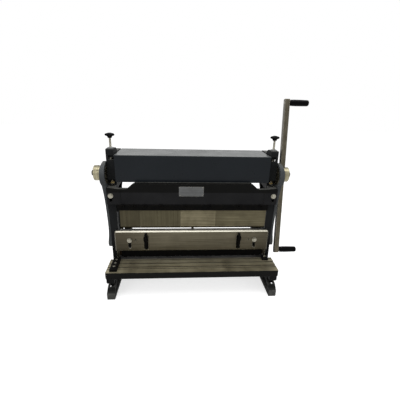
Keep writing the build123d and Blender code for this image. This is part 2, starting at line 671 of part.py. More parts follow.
def arm(side):
    """Outer arm: a round eye on the eccentric, a shank that thins like a bow and a boss at the ram's pin."""
    eye = sheave_radius + eye_wall
    shank = outline([(-46, shaft_z - 30), (-20, trunnion_z + 60), (-arm_foot_radius + 4, trunnion_z),
                     (arm_foot_radius - 4, trunnion_z), (20, trunnion_z + 60), (46, shaft_z - 30)],
                    {1: 80, 4: 80})
    side_view = Pos(sheave_y, 0) * shank + Pos(sheave_y, shaft_z) * Circle(eye)
    side_view += Pos(sheave_y, trunnion_z) * Circle(arm_foot_radius)
    body = along_x(side_view, (0, sheave_width))
    top, bottom = shaft_z + eye, trunnion_z - arm_foot_radius
    edge = Spline((sheave_width, shaft_z - 28), (arm_waist + 2.5, shaft_z - 120), (arm_waist, shaft_z - 215),
                  (arm_waist + 1.5, trunnion_z + 62), (arm_foot_out, trunnion_z + 20))
    front_view = make_face([edge, Polyline((arm_foot_out, trunnion_z + 20), (arm_foot_out, bottom - 1),
                                           (0, bottom - 1), (0, top + 1), (sheave_width - 8, top + 1),
                                           (sheave_width, shaft_z + 34), (sheave_width, shaft_z - 28))])
    body &= along_y(front_view, (sheave_y - eye - 5, sheave_y + eye + 5))
    body -= rod_x(sheave_y, shaft_z, sheave_radius + running_fit, (-1, sheave_width + 1))
    body -= rod_x(sheave_y, trunnion_z, trunnion_diameter / 2 + open_pivot_clearance, (-1, sheave_width + 1))
    body = Pos(arm_in, 0, 0) * body
    return body if side > 0 else mirror(body, Plane.YZ)


def trunnion(side):
    """Pin from the moving beam through the frame's slot and the arm's foot, with a retaining washer."""
    pin = rod_x(trunnion_y, trunnion_z, trunnion_diameter / 2, span(side, frame_in - 50, arm_in + arm_foot_out + 1))
    washer = rod_x(trunnion_y, trunnion_z, trunnion_diameter / 2 + 9,
                   span(side, arm_in + arm_foot_out + sliding_gap, arm_in + arm_foot_out + 3))
    return pin + washer


# ---- rolls' blocks, pressure screws and cover ---------------------------------------------------------------------
def bearing_block(side, y, z):
    """Bronze block that carries a roll's journal and slides in the frame's window."""
    width = block_width / 2
    body = block(span(side, frame_in + 0.5, frame_out - 0.5), (y - width, y + width),
                 (z - block_height / 2 + 0.3, z + block_height / 2))
    body = chamfer(body.edges().filter_by(Axis.X), 1.0)
    return body - rod_x(y, z, journal_diameter / 2 + running_fit, span(side, frame_in - 1, frame_out + 1))


stem_foot = upper_roll_z + block_height / 2
stem_top = frame_height + 50


def pressure_screw(side):
    """Long screw through the frame's top that bears on the roll block."""
    stem = rod_z(side * frame_mid, shaft_y, screw_radius - 0.1, (stem_foot, stem_top))
    return chamfer(stem.edges().filter_by(GeomType.CIRCLE), 0.8)


def star_knob(side):
    """Six-lobed knob with a tapered neck and a low crown."""
    lobes = Circle(knob_radius - 5)
    for number in range(6):
        lobes += Rot(0, 0, 60 * number) * Pos(knob_radius - 6.5, 0) * Circle(6.5)
    for number in range(6):
        lobes -= Rot(0, 0, 60 * number + 30) * Pos(knob_radius + 2.2, 0) * Circle(7)
    crown = knob_height - 9
    head = extrude(lobes, crown)
    head = head & (Pos(0, 0, crown - 27) * Sphere(38) + Pos(0, 0, -1) * Cylinder(1, 1))
    neck = Pos(0, 0, -4.5) * Cone(9, 15, 9)
    return Pos(side * frame_mid, shaft_y, stem_top + 9) * (head + neck)


pad_height = 5.0


def screw_pad(side):
    """Round grey pad on the frame's top, round the pressure screw."""
    pad = rod_z(side * frame_mid, shaft_y, 15, (frame_height, frame_height + pad_height))
    pad = chamfer(pad.edges().group_by(Axis.Z)[-1], 1.5)
    return pad - rod_z(side * frame_mid, shaft_y, screw_radius + sliding_gap, (frame_height - 1, frame_height + 9))


cover_half = frame_in - 5.0
cover_round = 4.0
lip_depth, back_drop = 12.0, 66.0
end_floor = upper_roll_z + roll_pitch / 2 + gear_module + upper_travel + 2


def roll_cover():
    """Folded sheet over the rolls: front with an inward lip, top, short back and closed ends."""
    inside = cover_front + cover_sheet
    outer = outline([(cover_front, cover_bottom), (cover_front, cover_top), (cover_back, cover_top),
                     (cover_back, cover_top - back_drop), (cover_back - cover_sheet, cover_top - back_drop),
                     (cover_back - cover_sheet, cover_top - cover_sheet),
                     (inside, cover_top - cover_sheet), (inside, cover_bottom + cover_sheet),
                     (cover_front + lip_depth, cover_bottom + cover_sheet), (cover_front + lip_depth, cover_bottom)],
                    {1: cover_round, 2: cover_round, 0: 2})
    body = along_x(outer, (-cover_half, cover_half))
    end = outline([(cover_front + 1, cover_bottom + 22), (cover_front + 1, cover_top - 1),
                   (cover_back - 1, cover_top - 1), (cover_back - 1, cover_top - back_drop + 2),
                   (cover_back - 40, cover_top - back_drop - 6), (76, end_floor), (cover_front + 24, end_floor),
                   (cover_front + 18, cover_bottom + 22)],
                  {4: 20, 5: 14, 6: 12, 7: 6})
    for side in mirrored.values():
        body += along_x(end, span(side, cover_half - cover_sheet, cover_half))
        body -= rod_x(hinge_y, hinge_z, hinge_pin_radius + running_fit, span(side, cover_half - 8, cover_half + 1))
    return body


# ---- write every node ------------------------------------------------------------------------------------------
for name, side in mirrored.items():
    save(f"{name}_side_frame", side_frame(side))
    save(f"{name}_eccentric_hub", eccentric_hub(side))
    save(f"{name}_arm", arm(side))
    save(f"{name}_pressure_screw", pressure_screw(side))
    save(f"{name}_star_knob", star_knob(side))

save("trunnion_pins", *[trunnion(side) for side in mirrored.values()])
gib_sides = [span(side, ram_half + sliding_gap, frame_in) for side in mirrored.values()]
save("gibs", *[block(gib_x, gib_y, gib_z) for gib_x in gib_sides
               for gib_y in ((0.5, tongue_y[0] - sliding_gap), (tongue_y[1] + sliding_gap, tongue_y[1] + 16))])

save("table", table())
save("lower_blade", lower_blade())
save("lower_blade_screws", *[flush_screw(x) for x in lower_screw_xs])
save("side_gauge", side_gauge())
save("rear_stop", rear_stop())
save("gauge_screws", *[Pos(gauge_x, y, table_top + gauge_height - 7) * socket_screw(4, 6.5) for y in gauge_screw_y],
     Pos(stop_x, stop_screw_y, table_top + 12) * socket_screw(4, 12))
save("table_bolts", *[Pos(side * frame_mid, y, arm_bottom) * facing_down * hex_bolt(5, arm_depth + table_bolt_grip)
                      for side in mirrored.values() for y in table_bolt_y])
save("hold_down_guides", *[block(span(side, frame_in, frame_in + 12), (pad_face, beam_edge),
                                 (table_top, plate_top - 6)) for side in mirrored.values()])

save("crossbeam", crossbeam())
save("beam_adjusting_screws",
     *[rod_z(side * frame_mid, adjusting_y, screw_radius, (beam_lug_top + 4, notch_high + 14))
       + Pos(side * frame_mid, adjusting_y, beam_lug_top + 7) * hex_head(10, 8) for side in mirrored.values()])
edge_x = finger_shift - capacity / 2
for number, width in enumerate(finger_widths, start=1):
    save(f"brake_finger_{number}", finger(edge_x + 0.1, width - 0.2))
    edge_x += width
save("finger_clamp_bar", finger_clamp())
clamp_front = -finger_half - clamp_bar_thickness
save("clamp_bar_screws",
     *[Pos(x, clamp_front, clamp_screw_z) * facing_operator * socket_screw(5, 38) for x in clamp_screw_xs],
     *[rod_y(x, jack_screw_z, 4, (clamp_front + 2, -finger_half)) for x in jack_screw_xs])
label_x, label_z, label_size = -12.0, 520.0, (124.0, 50.0)
panel_face = -beam_front + 2.5
save("label_plate", block((label_x - label_size[0] / 2, label_x + label_size[0] / 2), (panel_face - 1, panel_face),
                          (label_z - label_size[1] / 2, label_z + label_size[1] / 2)))
stretcher = block((-frame_in, frame_in), (stretcher_y - 22, stretcher_y + 10), (stretcher_z - 40, stretcher_z + 40))
stretcher -= block((-frame_in + 16, frame_in - 16), (stretcher_y - 12, stretcher_y + 11),
                   (stretcher_z - 30, stretcher_z + 30))
for side in mirrored.values():
    for z in (stretcher_z - 24, stretcher_z + 24):
        stretcher -= rod_x(stretcher_y, z, 6, span(side, frame_in - 17, frame_in + 1))
save("rear_stretcher", stretcher)
save("frame_bolts", *[Pos(side * frame_mid, -beam_front, beam_bolt_z) * facing_operator * hex_bolt(6, 54)
                      for side in mirrored.values()],
     *[Pos(side * frame_out, stretcher_y, z) * outward(side) * hex_bolt(6, frame_thickness + 16)
       for side in mirrored.values() for z in (stretcher_z - 24, stretcher_z + 24)])
save("shaft_bushes", *[rod_x(shaft_y, shaft_z, journal_diameter / 2 + bush_wall, span(side, frame_in, frame_out))
                       - rod_x(shaft_y, shaft_z, journal_diameter / 2 + running_fit,
                               span(side, frame_in - 1, frame_out + 1)) for side in mirrored.values()])
save("screw_pads", *[screw_pad(side) for side in mirrored.values()])
save("cover_hinge_pins", *[rod_x(hinge_y, hinge_z, hinge_pin_radius, span(side, cover_half - 6, frame_out))
                           for side in mirrored.values()])

save("drive_roll", roll(shaft_y, shaft_z, arm_eye_out - sliding_gap))
save("drive_roll_gear", roll_gear(shaft_y, shaft_z, 90))
save("upper_roll", roll(shaft_y, upper_roll_z, frame_out - 1))
save("upper_roll_gear", roll_gear(shaft_y, upper_roll_z, 90 + 180 / gear_teeth))
save("rear_roll", roll(rear_roll_y, rear_roll_z, frame_out - 1))
save("lever_bar", lever_bar())
save("hub_clamp_bolts", *[Pos(side * hub_out, shaft_y, shaft_z) * outward(side) *
                          hex_bolt(7.9, hub_out - bar_x - bar_square / 2 - 0.1) for side in mirrored.values()])
save("grip_spindles", grip_spindle(bar_up - grip_inset), grip_spindle(-bar_down + grip_inset))
save("upper_grip", grip(bar_up - grip_inset))
save("lower_grip", grip(-bar_down + grip_inset))

save("ram", ram())
save("vee_die", vee_die())
save("upper_blade", upper_blade())
save("upper_blade_screws", *[upper_blade_screw(x) for x in upper_screw_xs])
save("truss_screw", rod_z(0, truss_y, truss_screw_radius, (ram_top - 40, ram_top + 66))
     + Pos(0, truss_y, ram_top) * hex_head(14, 10))
save("hold_down_bolts", *[Pos(side * plate_bolt_x, plate_front - sliding_gap, plate_bolt_z) * facing_operator *
                          hex_bolt(plate_bolt_radius, web_back - plate_front) for side in mirrored.values()])
save("spring_posts", *[spring_post(side * spring_x) for side in mirrored.values()])
save("hold_down_plate", hold_down_plate())
save("hold_down_foot", hold_down_foot())
save("hold_down_springs", *[coil_spring(side * spring_x) for side in mirrored.values()])

save("upper_roll_blocks", *[bearing_block(side, shaft_y, upper_roll_z) for side in mirrored.values()])
save("rear_roll_blocks", *[bearing_block(side, rear_roll_y, rear_roll_z) for side in mirrored.values()])
save("rear_roll_screws", *[rod_z(side * frame_mid, rear_roll_y, screw_radius - 0.1,
                                 (rear_screw_foot, rear_roll_z - block_height / 2))
                           + Pos(side * frame_mid, rear_roll_y, rear_screw_foot - 9) * hex_head(11, 9)
                           for side in mirrored.values()])
save("roll_cover", roll_cover())
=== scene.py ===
"""Visual model of a bench sheet metal machine: slip rolls, finger brake and shear on one pair of cast frames.

Every piece is in metres, in the machine's own frame: X along the rolls, Y away from the operator, Z up.
"""

import logging
from dataclasses import dataclass, field
from enum import Enum
from math import cos, pi, radians, sin

import bmesh
import bpy
import numpy as np
from mathutils import Matrix, Vector


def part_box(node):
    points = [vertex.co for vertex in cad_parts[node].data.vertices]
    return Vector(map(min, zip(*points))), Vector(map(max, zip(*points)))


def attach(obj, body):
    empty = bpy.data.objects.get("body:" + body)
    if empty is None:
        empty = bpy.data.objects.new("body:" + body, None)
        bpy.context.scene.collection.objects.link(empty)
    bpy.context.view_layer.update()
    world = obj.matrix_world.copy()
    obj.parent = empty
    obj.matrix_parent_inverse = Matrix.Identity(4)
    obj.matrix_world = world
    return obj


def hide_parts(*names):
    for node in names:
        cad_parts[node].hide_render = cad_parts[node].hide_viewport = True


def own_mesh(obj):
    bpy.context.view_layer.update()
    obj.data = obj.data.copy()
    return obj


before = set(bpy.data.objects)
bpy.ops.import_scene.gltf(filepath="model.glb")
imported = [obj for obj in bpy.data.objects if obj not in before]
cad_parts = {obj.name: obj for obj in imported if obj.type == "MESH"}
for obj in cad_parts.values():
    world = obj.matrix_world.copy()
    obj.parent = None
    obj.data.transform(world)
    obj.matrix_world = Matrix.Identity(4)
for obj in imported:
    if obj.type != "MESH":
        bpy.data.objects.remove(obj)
logger = logging.getLogger("slip_roll_machine")

Point = tuple[float, float, float]
Colour = tuple[float, float, float]
Socket = bpy.types.NodeSocket

HEXAGON = 6
M12_PITCH = 0.00175


def shade(red: int, green: int, blue: int) -> Colour:
    """Turn a colour as the eye reads it into the linear colour that a shader takes.

    Each channel c in 0..1 becomes c / 12.92 below 0.04045, and otherwise ((c + 0.055) / 1.055) to the power 2.4.

    Args:
        red: Red, 0 to 255.
        green: Green, 0 to 255.
        blue: Blue, 0 to 255.

    Returns:
        The linear red, green and blue.
    """
    c = np.array([red, green, blue]) / 255
    linear = np.where(c < 0.04045, c / 12.92, ((c + 0.055) / 1.055) ** 2.4)
    return tuple(float(value) for value in linear)


# ---- meshes ------------------------------------------------------------------------------------------------


class End(Enum):
    """How the end of a swept surface is finished."""

    OPEN = "open"
    FAN = "fan"


@dataclass
class Shell:
    """Gathers swept sheets and turns them into one mesh."""

    points: list[np.ndarray] = field(default_factory=list)
    faces: list[tuple[int, ...]] = field(default_factory=list)
    count: int = 0

    def add_sheet(self, grid: np.ndarray, start: End = End.FAN, end: End = End.FAN) -> None:
        """Add a sheet of rings.

        Face (i, j) joins ring i to ring i + 1 between the places j and j + 1 round the ring, and the last place
        joins the first. A fan closes an end with triangles to the middle of its ring.

        Args:
            grid: Points as rings x places x 3.
            start: Finish of the first ring.
            end: Finish of the last ring.
        """
        rings, places = grid.shape[:2]
        ring, place = np.meshgrid(np.arange(rings - 1), np.arange(places), indexing="ij")
        following = (place + 1) % places
        corners = np.stack([ring * places + place, ring * places + following,
                            (ring + 1) * places + following, (ring + 1) * places + place], axis=-1)
        self.faces += [tuple(face) for face in (corners.reshape(-1, 4) + self.count).tolist()]
        self.points.append(grid.reshape(-1, 3))
        first, self.count = self.count, self.count + rings * places
        around = np.arange(places)
        for finish, row in ((start, 0), (end, rings - 1)):
            if finish is End.FAN:
                base = first + row * places
                fan = np.stack([base + around, base + (around + 1) % places, np.full(places, self.count)], axis=-1)
                self.faces += [tuple(face) for face in fan.tolist()]
                self.points.append(grid[row].mean(axis=0)[None, :])
                self.count += 1

    def build(self, name: str, sharp_degrees: float) -> bpy.types.Object:
        """Make the object, with outward faces and edges sharper than an angle kept sharp.

        Args:
            name: Name of the piece.
            sharp_degrees: Edges that turn by more than this stay sharp.

        Returns:
            The new object, linked to the scene.
        """
        mesh = bpy.data.meshes.new(name)
        mesh.from_pydata(np.concatenate(self.points).tolist(), [], self.faces)
        work = bmesh.new()
        work.from_mesh(mesh)
        bmesh.ops.remove_doubles(work, verts=work.verts, dist=1e-7)
        bmesh.ops.recalc_face_normals(work, faces=work.faces)
        work.to_mesh(mesh)
        work.free()
        mesh.polygons.foreach_set("use_smooth", np.ones(len(mesh.polygons), dtype=bool))
        mesh.set_sharp_from_angle(angle=radians(sharp_degrees))
        piece = bpy.data.objects.new(name, mesh)
        bpy.context.scene.collection.objects.link(piece)
        return piece


class Axis(Enum):
    """Direction that a turned piece is built along, with the two directions across it."""

    X = ((1, 0, 0), (0, 1, 0), (0, 0, 1))
    Y = ((0, 1, 0), (0, 0, 1), (1, 0, 0))
    Z = ((0, 0, 1), (1, 0, 0), (0, 1, 0))

    def place(self, centre: Point, along: np.ndarray, radius: np.ndarray, turn: np.ndarray) -> np.ndarray:
        """Points at a distance along the axis and at a radius and an angle round it.

        A point is centre + along * axis + radius * (cos turn * first side + sin turn * second side).

        Args:
            centre: Where along is zero.
            along: Distances along the axis.
            radius: Distances from the axis.
            turn: Angles in radians.

        Returns:
            The points, with one more dimension of length 3.
        """
        axis, first, second = (np.array(v, dtype=float) for v in self.value)
        return (np.array(centre) + along[..., None] * axis
                + (radius * np.cos(turn))[..., None] * first + (radius * np.sin(turn))[..., None] * second)


def turned(axis: Axis, centre: Point, profile: list[tuple[float, float]], places: int = 48) -> np.ndarray:
    """Surface of revolution: each profile point (distance, radius) becomes a ring.

    Args:
        axis: Axis of the turning.
        centre: Zero of the profile's distances.
        profile: Distances and radii, in metres, from one end to the other.
        places: Points in each ring.

    Returns:
        Grid of rings for Shell.add_sheet.
    """
    along, radius = np.array(profile, dtype=float).T
    turn = np.linspace(0, 2 * pi, places, endpoint=False)
    return axis.place(centre, np.repeat(along[:, None], places, 1), np.repeat(radius[:, None], places, 1),
                      np.repeat(turn[None, :], len(profile), 0))


def block(low: Point, high: Point, bevel: float = 0.0) -> np.ndarray:
    """Upright block as four rings of its corners, drawn in by the bevel at the bottom and the top.

    Args:
        low: Corner with the least coordinates.
        high: Corner with the greatest coordinates.
        bevel: Width of the sloping edge at both ends.

    Returns:
        Grid of rings for Shell.add_sheet.
    """
    rings = [(low[2], bevel), (low[2] + bevel, 0.0), (high[2] - bevel, 0.0), (high[2], bevel)]
    return np.array([[(x, y, z) for x, y in ((low[0] + b, low[1] + b), (high[0] - b, low[1] + b),
                                             (high[0] - b, high[1] - b), (low[0] + b, high[1] - b))]
                     for z, b in rings])


def nut(foot: float, top: float, radius: float, drawn_in: float, slope: float) -> list[tuple[float, float]]:
    """Profile of a hexagon nut for turned(), with its corners drawn in at both faces.

    Args:
        foot: Where the lower face lies along the axis.
        top: Where the upper face lies.
        radius: Radius of the corners.
        drawn_in: How much less the corners' radius is at the faces.
        slope: Height over which it grows to the whole radius.

    Returns:
        Distances along the axis and radii.
    """
    return [(foot, radius - drawn_in), (foot + slope, radius), (top - slope, radius), (top, radius - drawn_in)]


def upright(node: str) -> tuple[Point, float, float]:
    """Middle of the foot, height and radius of a round solid that stands upright."""
    low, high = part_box(node)
    return ((low[0] + high[0]) / 2, (low[1] + high[1]) / 2, low[2]), high[2] - low[2], (high[0] - low[0]) / 2


def threaded(axis: Axis, centre: Point, length: float, radius: float, pitch: float, places: int = 28,
             steps: int = 6) -> np.ndarray:
    """Screw thread: the radius falls and rises once along each pitch, and a turn earlier by the angle.

    The radius is r - depth * |2 * frac(along / pitch - turn / 2 pi) - 1|, with depth 0.6 of the pitch, and it
    shrinks to the root over the first and the last half pitch.

    Args:
        axis: Axis of the screw.
        centre: Foot of the screw.
        length: Length of the screw.
        radius: Outer radius of the thread.
        pitch: Distance between two turns.
        places: Points round the screw.
        steps: Rings in each pitch.

    Returns:
        Grid of rings for Shell.add_sheet.
    """
    rings = max(3, int(length / pitch * steps))
    along = np.repeat(np.linspace(0, length, rings)[:, None], places, 1)
    turn = np.repeat(np.linspace(0, 2 * pi, places, endpoint=False)[None, :], rings, 0)
    wave = np.abs(2 * np.mod(along / pitch - turn / (2 * pi), 1.0) - 1)
    ends = np.clip(np.minimum(along, length - along) / (0.5 * pitch), 0, 1)
    depth = 0.6 * pitch
    return axis.place(centre, along, radius - depth * (1 - ends * (1 - wave)), turn)


def coil(centre: Point, height: float, radius: float, wire: float, turns: float, closed: float = 0.75,
         places: int = 12, steps: int = 30) -> np.ndarray:
    """Compression spring along Z: a wire carried round a helix whose ends lie closed.

    The wire's middle is centre + (radius cos t, radius sin t, rise), where the rise goes evenly with the angle but
    is held flat over the closed turns at both ends. Ring points stand on the radial direction and on the
    direction across it.

    Args:
        centre: Middle of the lower end.
        height: Height from the middle of the first turn to the middle of the last.
        radius: Radius to the wire's middle.
        wire: Radius of the wire.
        turns: Number of turns.
        closed: Turns that lie flat at each end.
        places: Points round the wire.
        steps: Rings in each turn.

    Returns:
        Grid of rings for Shell.add_sheet.
    """
    rings = int(turns * steps)
    t = np.linspace(0, 2 * pi * turns, rings)
    held = 2 * pi * closed
    share = np.clip((t - held) / (t[-1] - 2 * held), 0, 1)
    middle = np.stack([radius * np.cos(t), radius * np.sin(t), height * share], axis=-1) + np.array(centre)
    outward = np.stack([np.cos(t), np.sin(t), np.zeros(rings)], axis=-1)
    along = np.gradient(middle, axis=0)
    along /= np.linalg.norm(along, axis=1, keepdims=True)
    across = np.cross(along, outward)
    v = np.linspace(0, 2 * pi, places, endpoint=False)
    ring = np.cos(v)[None, :, None] * outward[:, None, :] + np.sin(v)[None, :, None] * across[:, None, :]
    return middle[:, None, :] + wire * ring


# ---- finishes ----------------------------------------------------------------------------------------------


class Graph:
    """Node tree of one material, with short ways to add the nodes that the finishes share."""

    def __init__(self, name: str) -> None:
        """Make an empty material with its shader and its object coordinates."""
        self.material = bpy.data.materials.new(name)
        self.material.use_nodes = True
        self.tree = self.material.node_tree
        self.shader = self.tree.nodes["Principled BSDF"]
        self.place = self.tree.nodes.new("ShaderNodeTexCoord").outputs["Object"]

    def link(self, source: Socket, target: Socket) -> None:
        """Join two sockets."""
        self.tree.links.new(source, target)

    def stretch(self, scale: Point, turn: Point = (0, 0, 0)) -> Socket:
        """Scaled and turned object coordinates."""
        node = self.tree.nodes.new("ShaderNodeMapping")
        node.inputs["Scale"].default_value = scale
        node.inputs["Rotation"].default_value = turn
        self.link(self.place, node.inputs["Vector"])
        return node.outputs["Vector"]

    def noise(self, scale: float, detail: float = 3.0, rough: float = 0.55,
              place: Socket | None = None) -> Socket:
        """Noise value between 0 and 1, round 0.5.

        Args:
            scale: Blotches per metre.
            detail: Octaves.
            rough: How much the fine octaves count.
            place: Coordinates, if not the object's own.

        Returns:
            The value's socket.
        """
        node = self.tree.nodes.new("ShaderNodeTexNoise")
        node.inputs["Scale"].default_value = scale
        node.inputs["Detail"].default_value = detail
        node.inputs["Roughness"].default_value = rough
        self.link(place or self.place, node.inputs["Vector"])
        return node.outputs["Fac"]

    def spread(self, value: Socket, low: float, high: float, to_low: float, to_high: float) -> Socket:
        """Value between low and high, carried to another range and clamped there."""
        node = self.tree.nodes.new("ShaderNodeMapRange")
        for name, number in (("From Min", low), ("From Max", high), ("To Min", to_low), ("To Max", to_high)):
            node.inputs[name].default_value = number
        self.link(value, node.inputs["Value"])
        return node.outputs["Result"]

    def patches(self, scale: float, detail: float, low: float, high: float, to_low: float = 0.0,
                to_high: float = 1.0) -> Socket:
        """Noise whose values between low and high are carried to another range and clamped there."""
        return self.spread(self.noise(scale, detail), low, high, to_low, to_high)

    def blend(self, share: Socket, first: Colour | Socket, second: Colour | Socket) -> Socket:
        """Colour that goes from the first to the second with the share."""
        node = self.tree.nodes.new("ShaderNodeMix")
        node.data_type = "RGBA"
        self.link(share, node.inputs[0])
        for number, colour in ((6, first), (7, second)):
            if isinstance(colour, Socket):
                self.link(colour, node.inputs[number])
            else:
                node.inputs[number].default_value = (*colour, 1)
        return node.outputs[2]

    def product(self, first: Socket, second: Socket) -> Socket:
        """Two values multiplied."""
        node = self.tree.nodes.new("ShaderNodeMath")
        node.operation = "MULTIPLY"
        self.link(first, node.inputs[0])
        self.link(second, node.inputs[1])
        return node.outputs[0]

    def part(self, vector: Socket, axis: str) -> Socket:
        """X, Y or Z of a vector."""
        node = self.tree.nodes.new("ShaderNodeSeparateXYZ")
        self.link(vector, node.inputs[0])
        return node.outputs[axis]

    def facing(self, axis: str, low: float, high: float) -> Socket:
        """Share that goes from 0 to 1 as the surface's normal goes from low to high along an axis."""
        normal = self.tree.nodes.new("ShaderNodeNewGeometry").outputs["Normal"]
        return self.spread(self.part(normal, axis), low, high, 0.0, 1.0)

    def size_of(self, value: Socket) -> Socket:
        """The value without its sign."""
        node = self.tree.nodes.new("ShaderNodeMath")
        node.operation = "ABSOLUTE"
        self.link(value, node.inputs[0])
        return node.outputs[0]

    def soft_edge(self, radius: float) -> Socket:
        """Normal as if every edge were rounded by the radius."""
        node = self.tree.nodes.new("ShaderNodeBevel")
        node.samples = 4
        node.inputs["Radius"].default_value = radius
        return node.outputs["Normal"]

    def edge_share(self, radius: float) -> Socket:
        """Share that is 1 on an edge and 0 away from it: one less the rounded normal's part along the true one."""
        dot = self.tree.nodes.new("ShaderNodeVectorMath")
        dot.operation = "DOT_PRODUCT"
        self.link(self.soft_edge(radius), dot.inputs[0])
        self.link(self.tree.nodes.new("ShaderNodeNewGeometry").outputs["Normal"], dot.inputs[1])
        return self.spread(dot.outputs["Value"], 0.995, 0.9, 0.0, 1.0)

    def bump(self, height: Socket, distance: float, strength: float = 1.0,
             normal: Socket | None = None) -> None:
        """Raise the surface by the height and give the normal to the shader."""
        node = self.tree.nodes.new("ShaderNodeBump")
        node.inputs["Strength"].default_value = strength
        node.inputs["Distance"].default_value = distance
        self.link(height, node.inputs["Height"])
        if normal is not None:
            self.link(normal, node.inputs["Normal"])
        self.link(node.outputs["Normal"], self.shader.inputs["Normal"])

    def give(self, name: str, source: Socket) -> None:
        """Join a socket to one of the shader's own."""
        self.link(source, self.shader.inputs[name])

    def roughen(self, scale: float, detail: float, least: float, most: float) -> None:
        """Give the shader a roughness that a noise varies."""
        self.give("Roughness", self.patches(scale, detail, 0.3, 0.7, least, most))

    def fix(self, **values: float) -> None:
        """Set numbers on the shader's own sockets; an underscore stands for a space."""
        for name, number in values.items():
            self.shader.inputs[name.replace("_", " ")].default_value = number


@dataclass(frozen=True)
class CastPaint:
    """Satin paint over a casting: orange-peel skin, soft blotches, dust and a painted sheen on top, and worn edges.
    """

    name: str
    dark: Colour
    light: Colour
    worn: Colour
    sheen: float = 0.5
    gloss: float = 0.06
    grain: float = 240.0
    lumps: float = 0.00025
    # Colour of upward faces: dust, and a painted sheen of the light above.
    dust_and_sheen: Colour = shade(80, 80, 77)

    def paint(self, graph: Graph) -> Socket:
        """Colour of the paint before its wear: a slow noise between the dark and the light tone."""
        blotch = graph.patches(7.0, 4.0, 0.35, 0.7)
        return graph.blend(blotch, self.dark, self.light)

    def build(self) -> bpy.types.Material:
        """Make the material: dust and a painted sheen lie where the surface looks up, and fine noise breaks the worn
        edges.
        """
        graph = Graph(self.name)
        uneven = graph.patches(24.0, 4.0, 0.25, 0.7, 0.35, 1.0)
        # Upward faces turn to the dust colour: partly dust, partly a painted sheen on the tops.
        dust_and_sheen_share = graph.product(graph.facing("Z", 0.75, 0.98), uneven)
        with_dust_and_sheen = graph.blend(dust_and_sheen_share, self.paint(graph), self.dust_and_sheen)
        chips = graph.spread(graph.noise(95.0, 3.0, 0.7), 0.5, 0.66, 0.0, 0.75)
        wear = graph.product(graph.edge_share(0.0018), chips)
        graph.give("Base Color", graph.blend(wear, with_dust_and_sheen, self.worn))
        graph.roughen(38.0, 4.0, self.sheen - 0.07, self.sheen + 0.12)
        graph.fix(Metallic=0.0, Specular_IOR_Level=self.gloss)
        graph.bump(graph.noise(self.grain, 3.0, 0.6), self.lumps, 0.6, graph.soft_edge(0.0016))
        return graph.material


@dataclass(frozen=True)
class ToePaint(CastPaint):
    """Paint of the frames: a painted shade darkens the feet under the table and a painted highlight lightens the
    toes.
    """

    # Painted highlight on the toes' forward faces.
    scuff_and_highlight: Colour = shade(82, 82, 79)
    # Painted shade of the feet under the table.
    painted_shade: Colour = shade(6, 6, 5)
    toe_highlight_height: float = 0.045
    toe_highlight_fade: float = 0.006
    painted_shade_height: float = 0.2
    painted_shade_fade: float = 0.06
    painted_shade_strength: float = 0.8

    def paint(self, graph: Graph) -> Socket:
        """Colour of the paint, darkened by a painted shade below the table and lightened by a painted highlight on
        forward faces below the toe's height.
        """
        height = graph.part(graph.place, "Z")
        # Painted shade: darker below the table's level.
        painted_shade_share = graph.spread(height, self.painted_shade_height, self.painted_shade_height + self.painted_shade_fade, self.painted_shade_strength, 0.0)
        # Painted highlight: lighter in patches on forward faces below the toe's height.
        low = graph.spread(height, self.toe_highlight_height - self.toe_highlight_fade, self.toe_highlight_height, 1.0, 0.0)
        forward = graph.facing("Y", -0.6, -0.95)
        scuffed_and_highlit = graph.product(graph.product(low, forward), graph.patches(60.0, 4.0, 0.2, 0.6, 0.5, 1.0))
        paint = graph.blend(painted_shade_share, CastPaint.paint(self, graph), self.painted_shade)
        return graph.blend(scuffed_and_highlit, paint, self.scuff_and_highlight)


@dataclass(frozen=True)
class BandPaint(CastPaint):
    """Paint of the crossbeam: its upper part is near-black above a level."""

    band: Colour = shade(10, 10, 9)
    level: float = 0.5135
    fade: float = 0.0005

    def paint(self, graph: Graph) -> Socket:
        """Colour of the paint, which turns to the band's within half a millimetre of the level."""
        above = graph.spread(graph.part(graph.place, "Z"), self.level, self.level + self.fade, 0.0, 1.0)
        return graph.blend(above, CastPaint.paint(self, graph), self.band)


@dataclass(frozen=True)
class SheetPaint:
    """Smooth factory paint on folded sheet: nearly even, dust and a painted sheen on its top, and small scuffs."""

    name: str
    dark: Colour
    light: Colour
    scuff_and_highlight: Colour
    # Colour of the top: dust, and a painted sheen of the light above.
    dust_and_sheen: Colour = shade(90, 92, 91)

    def build(self) -> bpy.types.Material:
        """Make the material: a slow noise blends the paint, and thin stretched scuffs lighten it."""
        graph = Graph(self.name)
        paint = graph.blend(graph.patches(3.0, 3.0, 0.3, 0.7), self.dark, self.light)
        along = graph.stretch((5, 60, 60), (0.2, 0.1, 0.15))
        scuffs = graph.spread(graph.noise(9.0, 5.0, 0.75, along), 0.63, 0.8, 0.0, 0.35)
        scuffed_and_highlit = graph.blend(scuffs, paint, self.scuff_and_highlight)
        uneven = graph.patches(2.2, 4.0, 0.3, 0.7, 0.55, 1.0)
        # Upward faces turn to the dust colour: partly dust, partly a painted sheen on the cover's top.
        dust_and_sheen_share = graph.product(graph.facing("Z", 0.7, 0.98), uneven)
        graph.give("Base Color", graph.blend(dust_and_sheen_share, scuffed_and_highlit, self.dust_and_sheen))
        graph.roughen(14.0, 4.0, 0.26, 0.38)
        graph.fix(Metallic=0.0, Specular_IOR_Level=0.13)
        graph.bump(graph.noise(520.0, 2.0), 0.00006, 0.5, graph.soft_edge(0.0018))
        return graph.material


class Lay(Enum):
    """Direction of the grinding or drawing marks on a bare metal."""

    ALONG_X = (3.0, 220.0, 220.0)
    ALONG_Z = (220.0, 220.0, 3.0)
    ROUND_X = (700.0, 6.0, 6.0)
    NONE = (60.0, 60.0, 60.0)


